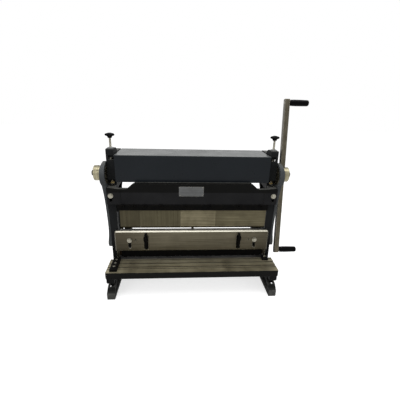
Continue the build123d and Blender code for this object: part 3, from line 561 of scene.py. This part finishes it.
@dataclass(frozen=True)
class BareMetal:
    """Ground, drawn or turned metal: streaks along its lay, oil and dirt in slow clouds, edges rubbed bright or
    darkened as painted shade, and a painted highlight where given.
    """

    name: str
    dark: Colour
    light: Colour
    stain: Colour
    lay: Lay
    roughness: float = 0.34
    metallic: float = 0.85
    stains: float = 0.45
    cloud: float = 9.0
    edge_rub_and_shade: Colour = shade(205, 202, 188)
    painted_highlight: Colour | None = None
    grimy_ends: tuple[float, float] | None = None

    def build(self) -> bpy.types.Material:
        """Make the material: stretched noise for the lay, clouds of stain, rubbed or painted-shade edges, a painted
        highlight where given, and fine scratches.
        """
        graph = Graph(self.name)
        lay = graph.stretch(self.lay.value)
        streak = graph.spread(graph.noise(1.0, 5.0, 0.7, lay), 0.32, 0.68, 0.0, 1.0)
        metal = graph.blend(streak, self.dark, self.light)
        cloud = graph.spread(graph.noise(self.cloud, 5.0, 0.62), 0.42, 0.72, 0.0, self.stains)
        stained = graph.blend(cloud, metal, self.stain)
        if self.grimy_ends:
            across = graph.size_of(graph.part(graph.place, "X"))
            stained = graph.blend(graph.spread(across, *self.grimy_ends, 0.0, 0.75), stained, self.stain)
        # Painted highlight: faces that look partly up, such as a top chamfer, turn to this colour.
        if self.painted_highlight:
            stained = graph.blend(graph.facing("Z", 0.4, 0.65), stained, self.painted_highlight)
        # Edge colour: rubbed bright metal, or painted shade along the joints where it is dark, as on the fingers.
        rub = graph.product(graph.edge_share(0.0012), graph.patches(60.0, 3.0, 0.3, 0.6, 0.2, 0.8))
        graph.give("Base Color", graph.blend(rub, stained, self.edge_rub_and_shade))
        graph.roughen(self.cloud * 2.5, 4.0, self.roughness - 0.06, self.roughness + 0.14)
        graph.fix(Metallic=self.metallic)
        graph.bump(streak, 0.00004, 0.5, graph.soft_edge(0.0007))
        return graph.material


@dataclass(frozen=True)
class BlackSteel:
    """Blackened steel: almost black, a faint brown in places and bright where it is rubbed."""

    name: str
    dark: Colour = shade(6, 6, 6)
    brown: Colour = shade(17, 15, 12)
    rubbed: Colour = shade(80, 78, 72)
    roughness: float = 0.45
    gloss: float = 0.03

    def build(self) -> bpy.types.Material:
        """Make the material: a slow noise for the brown and an edge share for the rubbed places."""
        graph = Graph(self.name)
        base = graph.blend(graph.patches(45.0, 4.0, 0.4, 0.75, 0.0, 0.8), self.dark, self.brown)
        rub = graph.product(graph.edge_share(0.0008), graph.patches(130.0, 3.0, 0.45, 0.7, 0.0, 0.5))
        graph.give("Base Color", graph.blend(rub, base, self.rubbed))
        graph.roughen(80.0, 3.0, self.roughness - 0.08, self.roughness + 0.12)
        graph.fix(Metallic=0.0, Specular_IOR_Level=self.gloss)
        graph.bump(graph.noise(420.0), 0.00006, 0.4, graph.soft_edge(0.0006))
        return graph.material


@dataclass(frozen=True)
class Moulding:
    """Black moulded plastic with a fine texture and a little dust."""

    name: str
    dark: Colour
    dust_and_sheen: Colour
    roughness: float
    texture: float

    def build(self) -> bpy.types.Material:
        """Make the material: fine noise for the texture and a slow one for the dust."""
        graph = Graph(self.name)
        with_dust_and_sheen = graph.patches(30.0, 5.0, 0.5, 0.85, 0.0, 0.4)
        graph.give("Base Color", graph.blend(with_dust_and_sheen, self.dark, self.dust_and_sheen))
        graph.roughen(55.0, 3.0, self.roughness - 0.05, self.roughness + 0.1)
        graph.fix(Metallic=0.0, Specular_IOR_Level=0.04)
        graph.bump(graph.noise(self.texture, 2.0), 0.00008, 0.5)
        return graph.material


class Finishes:
    """Every finish of the machine, each made once when first asked for."""

    def __init__(self) -> None:
        """List the finishes by the machine's own names for them."""
        self.made: dict[str, bpy.types.Material] = {}
        self.recipes = {recipe.name: recipe for recipe in (
            ToePaint("frame_casting_paint", shade(22, 23, 24), shade(31, 32, 33), shade(110, 108, 102), 0.55),
            BandPaint("beam_casting_paint", shade(24, 24, 25), shade(33, 33, 34), shade(70, 68, 62)),
            CastPaint("ram_casting_paint", shade(16, 16, 16), shade(24, 24, 24), shade(70, 68, 62)),
            CastPaint("lip_casting_paint", shade(9, 9, 8), shade(17, 16, 14), shade(60, 56, 46)),
            CastPaint("arm_casting_paint", shade(54, 57, 59), shade(74, 76, 77), shade(130, 130, 128), 0.4, 0.15),
            # The screw pads' light grey and pale top colour are a painted reflection of the light above.
            CastPaint("pad_painted_reflection", shade(100, 101, 102), shade(130, 131, 132), shade(160, 160, 158), 0.45, 0.3,
                      dust_and_sheen=shade(150, 150, 148)),
            SheetPaint("cover_sheet_paint", shade(17, 21, 25), shade(24, 28, 32), shade(70, 74, 80)),
            BareMetal("table_iron", shade(117, 110, 86), shade(180, 172, 146), shade(58, 50, 32), Lay.ALONG_X, 0.38,
                      0.8, 0.75, 5.0, shade(128, 122, 102)),
            # The hold-down plate gets a painted highlight on its top chamfer.
            BareMetal("hold_down_steel", shade(76, 71, 57), shade(103, 97, 81), shade(48, 43, 33), Lay.ALONG_X,
                      0.36, 0.85, 0.5, 4.0, painted_highlight=shade(184, 180, 166), grimy_ends=(0.24, 0.42)),
            # The finger steels' dark edge colours are painted shade along the joints between the fingers.
            BareMetal("dark_finger_steel", shade(52, 47, 33), shade(70, 65, 48), shade(40, 36, 24), Lay.ALONG_Z,
                      0.42, 0.8, 0.5, 7.0, shade(44, 40, 28)),
            BareMetal("finger_steel", shade(61, 56, 40), shade(82, 77, 58), shade(46, 41, 29), Lay.ALONG_Z, 0.42,
                      0.8, 0.5, 7.0, shade(44, 40, 28)),
            # Lighter steels for the fifth and sixth fingers: a painted highlight of a reflection that falls on them.
            BareMetal("finger_steel_painted_reflection", shade(68, 62, 45), shade(100, 94, 73), shade(50, 45, 32), Lay.ALONG_X,
                      0.4, 0.8, 0.5, 9.0, shade(52, 47, 33)),
            BareMetal("finger_steel_painted_highlight", shade(78, 72, 54), shade(122, 115, 93), shade(60, 54, 39),
                      Lay.ALONG_X, 0.36, 0.85, 0.6, 14.0, shade(60, 55, 40)),
            BareMetal("tool_steel", shade(60, 60, 58), shade(92, 91, 88), shade(34, 32, 28), Lay.ALONG_X, 0.36),
            BareMetal("turned_steel", shade(112, 106, 84), shade(164, 158, 134), shade(60, 52, 33), Lay.ROUND_X,
                      0.24, 0.95, 0.6, 14.0),
            BareMetal("drawn_bar", shade(66, 62, 51), shade(98, 93, 80), shade(42, 36, 26), Lay.ALONG_Z, 0.3,
                      0.9, 0.6, 8.0),
            BareMetal("roll_steel", shade(150, 150, 148), shade(190, 190, 188), shade(110, 106, 98), Lay.ROUND_X,
                      0.28, 0.95, 0.3, 8.0),
            BareMetal("zinc_steel", shade(126, 123, 111), shade(168, 165, 152), shade(84, 77, 61), Lay.NONE, 0.32,
                      0.9, 0.5, 60.0),
            BareMetal("brass", shade(100, 85, 48), shade(140, 121, 72), shade(60, 50, 28), Lay.NONE, 0.34, 0.9,
                      0.4, 60.0),
            BareMetal("bronze", shade(48, 38, 24), shade(66, 53, 34), shade(30, 24, 15), Lay.NONE, 0.45, 0.85,
                      0.4, 30.0, shade(80, 66, 44)),
            BareMetal("blank_plate", shade(74, 75, 76), shade(96, 97, 97), shade(60, 60, 59), Lay.ALONG_X, 0.4,
                      0.6, 0.4, 30.0),
            BlackSteel("black_steel"),
            BlackSteel("foot_bar_black", shade(5, 5, 5), shade(12, 11, 9), shade(50, 48, 44), 0.5),
            Moulding("knob_plastic", shade(8, 8, 9), shade(26, 26, 27), 0.42, 300.0),
            Moulding("grip_plastic", shade(3, 3, 4), shade(10, 10, 11), 0.28, 180.0),
        )}

    def get(self, name: str) -> bpy.types.Material:
        """The finish's material, made on first use."""
        if name not in self.made:
            self.made[name] = self.recipes[name].build()
        return self.made[name]

    def dress(self, piece: bpy.types.Object, name: str) -> None:
        """Give one finish to the whole of a piece."""
        material = self.get(name)
        if not piece.material_slots:
            piece.data.materials.append(material)
        for slot in piece.material_slots:
            slot.material = material

    def shape(self, shell: Shell, name: str, finish: str, sharp_degrees: float = 30.0) -> bpy.types.Object:
        """Build a piece from its shell and dress it.

        Args:
            shell: The piece's surface.
            name: Name of the piece.
            finish: Finish of the whole piece.
            sharp_degrees: Edges that turn by more than this stay sharp.

        Returns:
            The new object.
        """
        piece = shell.build(name, sharp_degrees)
        self.dress(piece, finish)
        logger.info("built %s in %s", name, finish)
        return piece

    def dress_nodes(self, names: dict[str, str]) -> None:
        """Give finishes to the machine's solids.

        Args:
            names: Finish for each solid's name.
        """
        for node, finish in names.items():
            self.dress(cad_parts[node], finish)
            logger.info("dressed %s in %s", node, finish)


# ---- the machine -------------------------------------------------------------------------------------------


@dataclass
class SideFrames:
    """Cast frames with their stretcher, feet, bushes and gibs."""

    finishes: Finishes

    def build(self) -> None:
        """Dress the castings and what is fixed to them."""
        self.finishes.dress_nodes({
            "left_side_frame": "frame_casting_paint", "right_side_frame": "frame_casting_paint",
            "rear_stretcher": "frame_casting_paint", "frame_bolts": "zinc_steel", "table_bolts": "black_steel",
            "shaft_bushes": "bronze", "gibs": "bronze", "screw_pads": "pad_painted_reflection",
            "cover_hinge_pins": "zinc_steel", "hold_down_guides": "hold_down_steel"})


@dataclass
class TableAndShear:
    """Ground table with its stops and the lower blade."""

    finishes: Finishes
    least_upward: float = 0.9

    def build(self) -> None:
        """Dress the table, whose upper face is ground and whose lip is painted black."""
        self.finishes.dress_nodes({
            "table": "table_iron", "lower_blade": "tool_steel", "lower_blade_screws": "black_steel",
            "side_gauge": "black_steel", "rear_stop": "black_steel", "gauge_screws": "zinc_steel"})
        self.paint_lip()

    def paint_lip(self) -> None:
        """Give the table's faces that don't look up the black paint, face by face."""
        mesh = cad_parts["table"].data
        mesh.materials.append(self.finishes.get("lip_casting_paint"))
        normals = np.empty(len(mesh.polygons) * 3)
        mesh.polygons.foreach_get("normal", normals)
        upward = normals.reshape(-1, 3)[:, 2] > self.least_upward
        mesh.polygons.foreach_set("material_index", np.where(upward, 0, len(mesh.materials) - 1))


@dataclass
class BrakeBeam:
    """Crossbeam with the row of fingers, their clamp bar and the blank plate."""

    finishes: Finishes
    rivet_radius: float = 0.0016
    rivet_inset: float = 0.0045
    screw_radius: float = 0.006
    head_radius: float = 0.01
    lip_half: float = 0.292
    lip_height: float = 0.008
    lip_setback: float = 0.0025
    lip_depth: float = 0.0095
    lip_bevel: float = 0.0015

    def build(self) -> None:
        """Dress the beam and its fingers, put rivets on the plate and fit the screws, the lip and the painted shade
        in the finger joints.
        """
        self.finishes.dress_nodes({
            "crossbeam": "beam_casting_paint", "finger_clamp_bar": "black_steel", "clamp_bar_screws": "black_steel",
            "label_plate": "blank_plate",
            "brake_finger_1": "dark_finger_steel", "brake_finger_2": "dark_finger_steel",
            "brake_finger_3": "finger_steel", "brake_finger_4": "finger_steel",
            # Fingers 5 and 6 take lighter steels as a painted highlight.
            "brake_finger_5": "finger_steel_painted_highlight", "brake_finger_6": "finger_steel_painted_reflection"})
        self.rivets()
        self.adjusting_screws()
        self.front_lip()
        self.joint_shade()

    def rivets(self) -> None:
        """Low domed rivets at the blank plate's corners.

        The radius is r cos t at the height r sin t / 2, with t from 0 to 90 degrees.
        """
        low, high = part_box("label_plate")
        t = np.linspace(0, pi / 2, 7)
        profile = [(-0.5 * self.rivet_radius * sin(a), max(self.rivet_radius * cos(a), 1e-5)) for a in t]
        shell = Shell()
        for x in (low[0] + self.rivet_inset, high[0] - self.rivet_inset):
            for z in (low[2] + self.rivet_inset, high[2] - self.rivet_inset):
                shell.add_sheet(turned(Axis.Y, (x, low[1], z), profile, 20))
        rivets = self.finishes.shape(shell, "plate_rivets", "zinc_steel", 34)
        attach(rivets, "frame")

    def adjusting_screws(self) -> None:
        """Threaded screws with hexagon collars between the beam's lugs and the frames' heads."""
        low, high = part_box("beam_adjusting_screws")
        middle_y = (low[1] + high[1]) / 2
        shell = Shell()
        for side in (-1, 1):
            centre = (side * (high[0] - self.head_radius), middle_y, low[2])
            shell.add_sheet(threaded(Axis.Z, centre, high[2] - low[2], self.screw_radius, M12_PITCH))
            shell.add_sheet(turned(Axis.Z, centre, nut(0.003, 0.011, 0.0098, 0.001, 0.0006), HEXAGON))
        screws = self.finishes.shape(shell, "brass_adjusting_screws", "brass")
        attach(screws, "frame")
        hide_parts("beam_adjusting_screws")

    def front_lip(self) -> None:
        """Low cast lip along the front of the crossbeam's crown, just under the roll cover's edge."""
        low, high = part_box("crossbeam")
        front, sunk = low[1] + self.lip_setback, 0.0005
        shell = Shell()
        shell.add_sheet(block((-self.lip_half, front, high[2] - sunk),
                              (self.lip_half, front + self.lip_depth, high[2] + self.lip_height), self.lip_bevel))
        lip = self.finishes.shape(shell, "crossbeam_front_lip", "beam_casting_paint")
        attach(lip, "frame")

    def joint_shade(self) -> None:
        """Black blocks of painted shade that fill the joints between neighbouring fingers, a little inside their
        faces.
        """
        front, back, above_nose, below_top = 0.002, 0.004, 0.012, 0.004
        shell = Shell()
        for number in range(1, 6):
            left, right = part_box(f"brake_finger_{number}"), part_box(f"brake_finger_{number + 1}")
            shell.add_sheet(block((left[1][0], left[0][1] + front, left[0][2] + above_nose),
                                  (right[0][0], left[1][1] - back, left[1][2] - below_top)))
        # Painted shade: black blocks in the finger joints.
        shade_fill = self.finishes.shape(shell, "finger_joint_painted_shade", "black_steel")
        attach(shade_fill, "frame")


@dataclass
class MovingBeam:
    """Moving beam with the die, the upper blade and the sprung hold-down."""

    finishes: Finishes
    wire: float = 0.0015
    turns: float = 9.0
    plate_lag: float = 0.0052
    post_half: float = 0.009
    stud_radius: float = 0.006
    stud_height: float = 0.024
    nut_radius: float = 0.012
    nut_foot: float = -0.02
    nut_top: float = 0.002
    fork_radius: float = 0.0075
    fork_foot: float = -0.062
    screw_radius: float = 0.007
    screw_pitch: float = 0.002
    screw_nut_radius: float = 0.0139
    screw_nut_height: float = 0.01

    def build(self) -> None:
        """Dress the beam and the hold-down, wind the springs and turn the studs, nuts and screw."""
        self.finishes.dress_nodes({
            "ram": "ram_casting_paint", "vee_die": "tool_steel", "upper_blade": "tool_steel",
            "upper_blade_screws": "black_steel", "hold_down_bolts": "zinc_steel", "spring_posts": "black_steel",
            "trunnion_pins": "turned_steel", "hold_down_plate": "hold_down_steel",
            "hold_down_foot": "foot_bar_black"})
        self.springs()
        self.spring_nuts()
        self.centre_screw()

    def springs(self) -> None:
        """Round-wire springs in the place of the solids' plain ones."""
        low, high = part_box("hold_down_springs")
        middle_y = (low[1] + high[1]) / 2
        radius = (high[1] - low[1]) / 2 - self.wire
        shell = Shell()
        for side in (-1, 1):
            centre = (side * (high[0] - radius - self.wire), middle_y, low[2] + self.wire)
            shell.add_sheet(coil(centre, high[2] - low[2] - 2 * self.wire, radius, self.wire, self.turns))
        springs = self.finishes.shape(shell, "round_wire_springs", "black_steel", 60)
        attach(springs, "ram")
        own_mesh(springs)
        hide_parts("hold_down_springs")

    def spring_nuts(self) -> None:
        """Black studs with a hexagon nut that stand before the windows, each on its spring's post."""
        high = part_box("spring_posts")[1]
        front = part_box("hold_down_plate")[0][1] - 0.0004
        end, overlap, places = 0.002, 0.0015, 24
        stud = [(self.nut_top - 0.001, self.stud_radius), (self.stud_height - end, self.stud_radius),
                (self.stud_height, self.stud_radius * 0.7)]
        fork = [(self.fork_foot, self.fork_radius * 0.8), (self.fork_foot + end, self.fork_radius),
                (self.nut_foot + overlap, self.fork_radius)]
        middle_nut = nut(self.nut_foot, self.nut_top, self.nut_radius, self.nut_radius * 0.1, end)
        shell = Shell()
        for side in (-1, 1):
            centre = (side * (high[0] - self.post_half), front - self.nut_radius * cos(pi / 6), high[2])
            shell.add_sheet(turned(Axis.Z, centre, stud, places))
            shell.add_sheet(turned(Axis.Z, centre, middle_nut, HEXAGON))
            shell.add_sheet(turned(Axis.Z, centre, fork, places))
        nuts = self.finishes.shape(shell, "spring_studs_and_nuts", "black_steel")
        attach(nuts, "ram")

    def centre_screw(self) -> None:
        """Threaded screw with a hexagon nut at the middle of the beam."""
        centre, height, _ = upright("truss_screw")
        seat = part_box("vee_die")[0][2] - centre[2]
        shell = Shell()
        shell.add_sheet(threaded(Axis.Z, centre, height, self.screw_radius, self.screw_pitch))
        screw_nut = nut(seat, seat + self.screw_nut_height, self.screw_nut_radius, 0.0011, 0.001)
        shell.add_sheet(turned(Axis.Z, centre, screw_nut, HEXAGON))
        screw = self.finishes.shape(shell, "threaded_centre_screw", "zinc_steel")
        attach(screw, "ram")
        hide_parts("truss_screw")


@dataclass
class LeverDrive:
    """Lever with its grips, the eccentric hubs and the arms."""

    finishes: Finishes
    neck: float = 0.0133
    neck_end: float = 0.006
    cap: float = 0.009

    def build(self) -> None:
        """Dress the drive and turn the two grips."""
        self.finishes.dress_nodes({
            "lever_bar": "drawn_bar", "left_eccentric_hub": "turned_steel", "right_eccentric_hub": "turned_steel",
            "hub_clamp_bolts": "black_steel", "grip_spindles": "zinc_steel", "left_arm": "arm_casting_paint",
            "right_arm": "arm_casting_paint", "drive_roll": "roll_steel", "drive_roll_gear": "tool_steel"})
        for name in ("upper_grip", "lower_grip"):
            self.grip(name)

    def grip(self, node: str) -> None:
        """Moulded grip: a neck ring, a body that swells towards its end and a rounded cap.

        Along the body the radius is r * (0.955 + 0.045 sin(pi * min(1, 1.15 s) ** 0.8)), where s is the share of its
        length, and over the cap it falls as (0.5 + 0.5 cos t) ** 0.72.

        Args:
            node: Name of the solid that it stands for.
        """
        low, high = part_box(node)
        length = high[0] - low[0]
        centre = (low[0], (low[1] + high[1]) / 2, (low[2] + high[2]) / 2)
        largest = (high[2] - low[2]) / 2
        straight = length - self.cap
        body = [(self.neck_end + (straight - self.neck_end) * s,
                 largest * (0.955 + 0.045 * sin(pi * min(1.0, s * 1.15) ** 0.8))) for s in np.linspace(0, 1, 22)]
        end = [(straight + self.cap * sin(t), body[-1][1] * (0.5 + 0.5 * cos(t)) ** 0.72)
               for t in np.linspace(0.12, pi / 2, 9)[1:]]
        profile = [(0, 0.0062), (0, 0.0118), (0.0012, self.neck - 0.0004), (0.0026, self.neck),
                   (0.0036, self.neck - 0.0005), (0.0048, largest * 0.9)]
        shell = Shell()
        shell.add_sheet(turned(Axis.X, centre, profile + body + end, 64), End.OPEN, End.FAN)
        piece = self.finishes.shape(shell, f"moulded_{node}", "grip_plastic", 50)
        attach(piece, node)
        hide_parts(node)


@dataclass
class RollStand:
    """Rolls with their gears, blocks, pressure screws and star knobs."""

    finishes: Finishes
    lobes: int = 6
    places: int = 96

    def build(self) -> None:
        """Dress the rolls and shape the screws and knobs."""
        self.finishes.dress_nodes({
            "upper_roll": "roll_steel", "rear_roll": "roll_steel", "upper_roll_gear": "tool_steel",
            "upper_roll_blocks": "bronze", "rear_roll_blocks": "bronze", "rear_roll_screws": "zinc_steel"})
        for side in ("left", "right"):
            self.pressure_screw(side)
            self.star_knob(side)

    def pressure_screw(self, side: str) -> None:
        """Threaded screw in the place of the plain one.

        Args:
            side: left or right.
        """
        centre, height, radius = upright(f"{side}_pressure_screw")
        shell = Shell()
        shell.add_sheet(threaded(Axis.Z, centre, height, radius, M12_PITCH))
        screw = self.finishes.shape(shell, f"{side}_threaded_screw", "zinc_steel")
        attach(screw, f"{side}_star_screw")
        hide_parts(f"{side}_pressure_screw")

    def star_knob(self, side: str) -> None:
        """Moulded star knob: rings whose radius swells at each lobe, a tapered neck and a low crown.

        A ring of radius R has the radius R * (1 - depth * (0.5 - 0.5 cos(lobes * turn)) ** 1.4), and the depth fades
        towards the neck and the crown's middle.

        Args:
            side: left or right.
        """
        centre, height, radius = upright(f"{side}_star_knob")
        profile = np.array([
            (0.0, 0.35, 0.0), (0.0, 0.40, 0.0), (0.05, 0.43, 0.0), (0.25, 0.50, 0.05), (0.36, 0.60, 0.12),
            (0.40, 0.78, 0.22), (0.44, 0.92, 0.26), (0.50, 0.985, 0.27), (0.60, 1.0, 0.27), (0.72, 0.985, 0.27),
            (0.80, 0.93, 0.25), (0.86, 0.82, 0.2), (0.90, 0.66, 0.12), (0.93, 0.48, 0.05), (0.965, 0.40, 0.0),
            (1.0, 0.34, 0.0), (1.0, 0.12, 0.0)])
        turn = np.linspace(0, 2 * pi, self.places, endpoint=False)
        wave = (0.5 - 0.5 * np.cos(self.lobes * turn)) ** 1.4
        rings = radius * profile[:, 1:2] * (1 - profile[:, 2:3] * wave[None, :])
        along = np.repeat(height * profile[:, 0:1], self.places, 1)
        shell = Shell()
        shell.add_sheet(Axis.Z.place(centre, along, rings, np.repeat(turn[None, :], len(profile), 0)))
        knob = self.finishes.shape(shell, f"{side}_moulded_knob", "knob_plastic", 50)
        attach(knob, f"{side}_star_screw")
        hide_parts(f"{side}_star_knob")


@dataclass
class RollCover:
    """Folded sheet cover over the rolls."""

    finishes: Finishes

    def build(self) -> None:
        """Dress the cover."""
        self.finishes.dress_nodes({"roll_cover": "cover_sheet_paint"})


# ---- floor, light and camera -------------------------------------------------------------------------------


def background_share(tree: bpy.types.NodeTree) -> Socket:
    """Value that is 1 for rays that show the background, and 0 for rays that light the machine.

    Args:
        tree: Node tree of the floor's material or of the world.

    Returns:
        The largest of the camera, the glossy and the transmission ray's flags.
    """
    path = tree.nodes.new("ShaderNodeLightPath")
    share = path.outputs["Is Camera Ray"]
    for name in ("Is Glossy Ray", "Is Transmission Ray"):
        largest = tree.nodes.new("ShaderNodeMath")
        largest.operation = "MAXIMUM"
        tree.links.new(share, largest.inputs[0])
        tree.links.new(path.outputs[name], largest.inputs[1])
        share = largest.outputs[0]
    return share


@dataclass
class Studio:
    """Pale floor, soft lamps and the camera."""

    focal_pixels: float = 279.7
    frame_pixels: int = 400
    pitch: float = 19.5
    yaw: float = 4.4
    roll: float = -1.6
    stand: Point = (-0.0700, -1.3568, 0.9506)
    room_level: float = 0.62
    floor_glow: float = 0.66

    def build(self) -> None:
        """Set the view settings and make the floor, the world, the lamps and the camera."""
        bpy.context.scene.view_settings.view_transform = "Standard"
        self.floor()
        self.world()
        self.lamp("overhead", (0.1, -0.2, 2.4), (0, 0, 0.4), (2.6, 1.8), 42)
        self.lamp("front_left", (-2.0, -2.2, 1.6), (0, 0, 0.4), (1.6, 1.6), 20)
        self.lamp("front_right", (2.2, -1.6, 1.3), (0, 0, 0.4), (1.4, 1.4), 8)
        self.camera()

    def floor(self) -> None:
        """Wide floor that shows white to the camera, keeps the shadow and gives little light back."""
        half, level = 9.0, -0.0004
        mesh = bpy.data.meshes.new("floor")
        corners = ((-half, -half), (half, -half), (half, half), (-half, half))
        mesh.from_pydata([(x, y, level) for x, y in corners], [], [(0, 1, 2, 3)])
        floor = bpy.data.objects.new("floor", mesh)
        bpy.context.scene.collection.objects.link(floor)
        graph = Graph("pale_floor")
        tint = graph.patches(1.5, 2.0, 0.3, 0.7)
        seen = background_share(graph.tree)
        pale = graph.blend(tint, (0.60, 0.60, 0.60), (0.62, 0.62, 0.62))
        graph.give("Base Color", graph.blend(seen, (0.2, 0.2, 0.2), pale))
        graph.fix(Roughness=0.9, Specular_IOR_Level=0.1)
        glow = graph.tree.nodes.new("ShaderNodeEmission")
        graph.link(graph.spread(seen, 0.0, 1.0, 0.0, self.floor_glow), glow.inputs["Strength"])
        both = graph.tree.nodes.new("ShaderNodeAddShader")
        graph.link(graph.shader.outputs[0], both.inputs[0])
        graph.link(glow.outputs[0], both.inputs[1])
        graph.link(both.outputs[0], graph.tree.nodes["Material Output"].inputs["Surface"])
        mesh.materials.append(graph.material)

    def world(self) -> None:
        """World that is white to the camera and in gloss, and a plain grey light to everything else."""
        world = bpy.data.worlds.new("plain_room")
        bpy.context.scene.world = world
        world.use_nodes = True
        tree = world.node_tree
        level = tree.nodes.new("ShaderNodeMapRange")
        level.inputs["To Min"].default_value = self.room_level
        level.inputs["To Max"].default_value = 1.0
        tree.links.new(background_share(tree), level.inputs["Value"])
        tree.nodes["Background"].inputs["Color"].default_value = (1, 1, 1, 1)
        tree.links.new(level.outputs["Result"], tree.nodes["Background"].inputs["Strength"])

    def lamp(self, name: str, place: Point, target: Point, size: tuple[float, float], power: float) -> None:
        """Soft rectangular lamp that looks at a point.

        Args:
            name: Name of the lamp.
            place: Where it hangs.
            target: What it looks at.
            size: Width and height.
            power: Watts.
        """
        data = bpy.data.lights.new(name, "AREA")
        data.shape = "RECTANGLE"
        data.size, data.size_y = size
        data.energy = power
        lamp = bpy.data.objects.new(name, data)
        lamp.location = place
        lamp.rotation_euler = (Vector(target) - Vector(place)).to_track_quat("-Z", "Y").to_euler()
        bpy.context.scene.collection.objects.link(lamp)

    def camera(self) -> None:
        """Camera where the photograph's was: its three directions come from the yaw, the pitch and the roll."""
        pitch, yaw, roll = radians(self.pitch), radians(self.yaw), radians(self.roll)
        forward = np.array([sin(yaw) * cos(pitch), cos(yaw) * cos(pitch), -sin(pitch)])
        right = np.array([cos(yaw), -sin(yaw), 0.0])
        down = np.cross(forward, right)
        turned_right = right * cos(roll) + down * sin(roll)
        turned_down = down * cos(roll) - right * sin(roll)
        data = bpy.data.cameras.new("camera")
        data.sensor_width = 36.0
        data.lens = data.sensor_width * self.focal_pixels / self.frame_pixels
        data.clip_end = 50.0
        camera = bpy.data.objects.new("camera", data)
        columns = np.stack([turned_right, -turned_down, -forward], axis=1)
        camera.matrix_world = Matrix.Translation(self.stand) @ Matrix(columns.tolist()).to_4x4()
        bpy.context.scene.collection.objects.link(camera)
        bpy.context.scene.camera = camera


def main() -> None:
    """Build the machine and its studio in order."""
    logging.basicConfig(level=logging.INFO, format="%(name)s: %(message)s")
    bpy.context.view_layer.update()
    finishes = Finishes()
    for assembly in (SideFrames(finishes), TableAndShear(finishes), BrakeBeam(finishes), MovingBeam(finishes),
                     LeverDrive(finishes), RollStand(finishes), RollCover(finishes)):
        assembly.build()
        logger.info("finished %s", type(assembly).__name__)
    Studio().build()


if __name__ == "__main__":
    main()
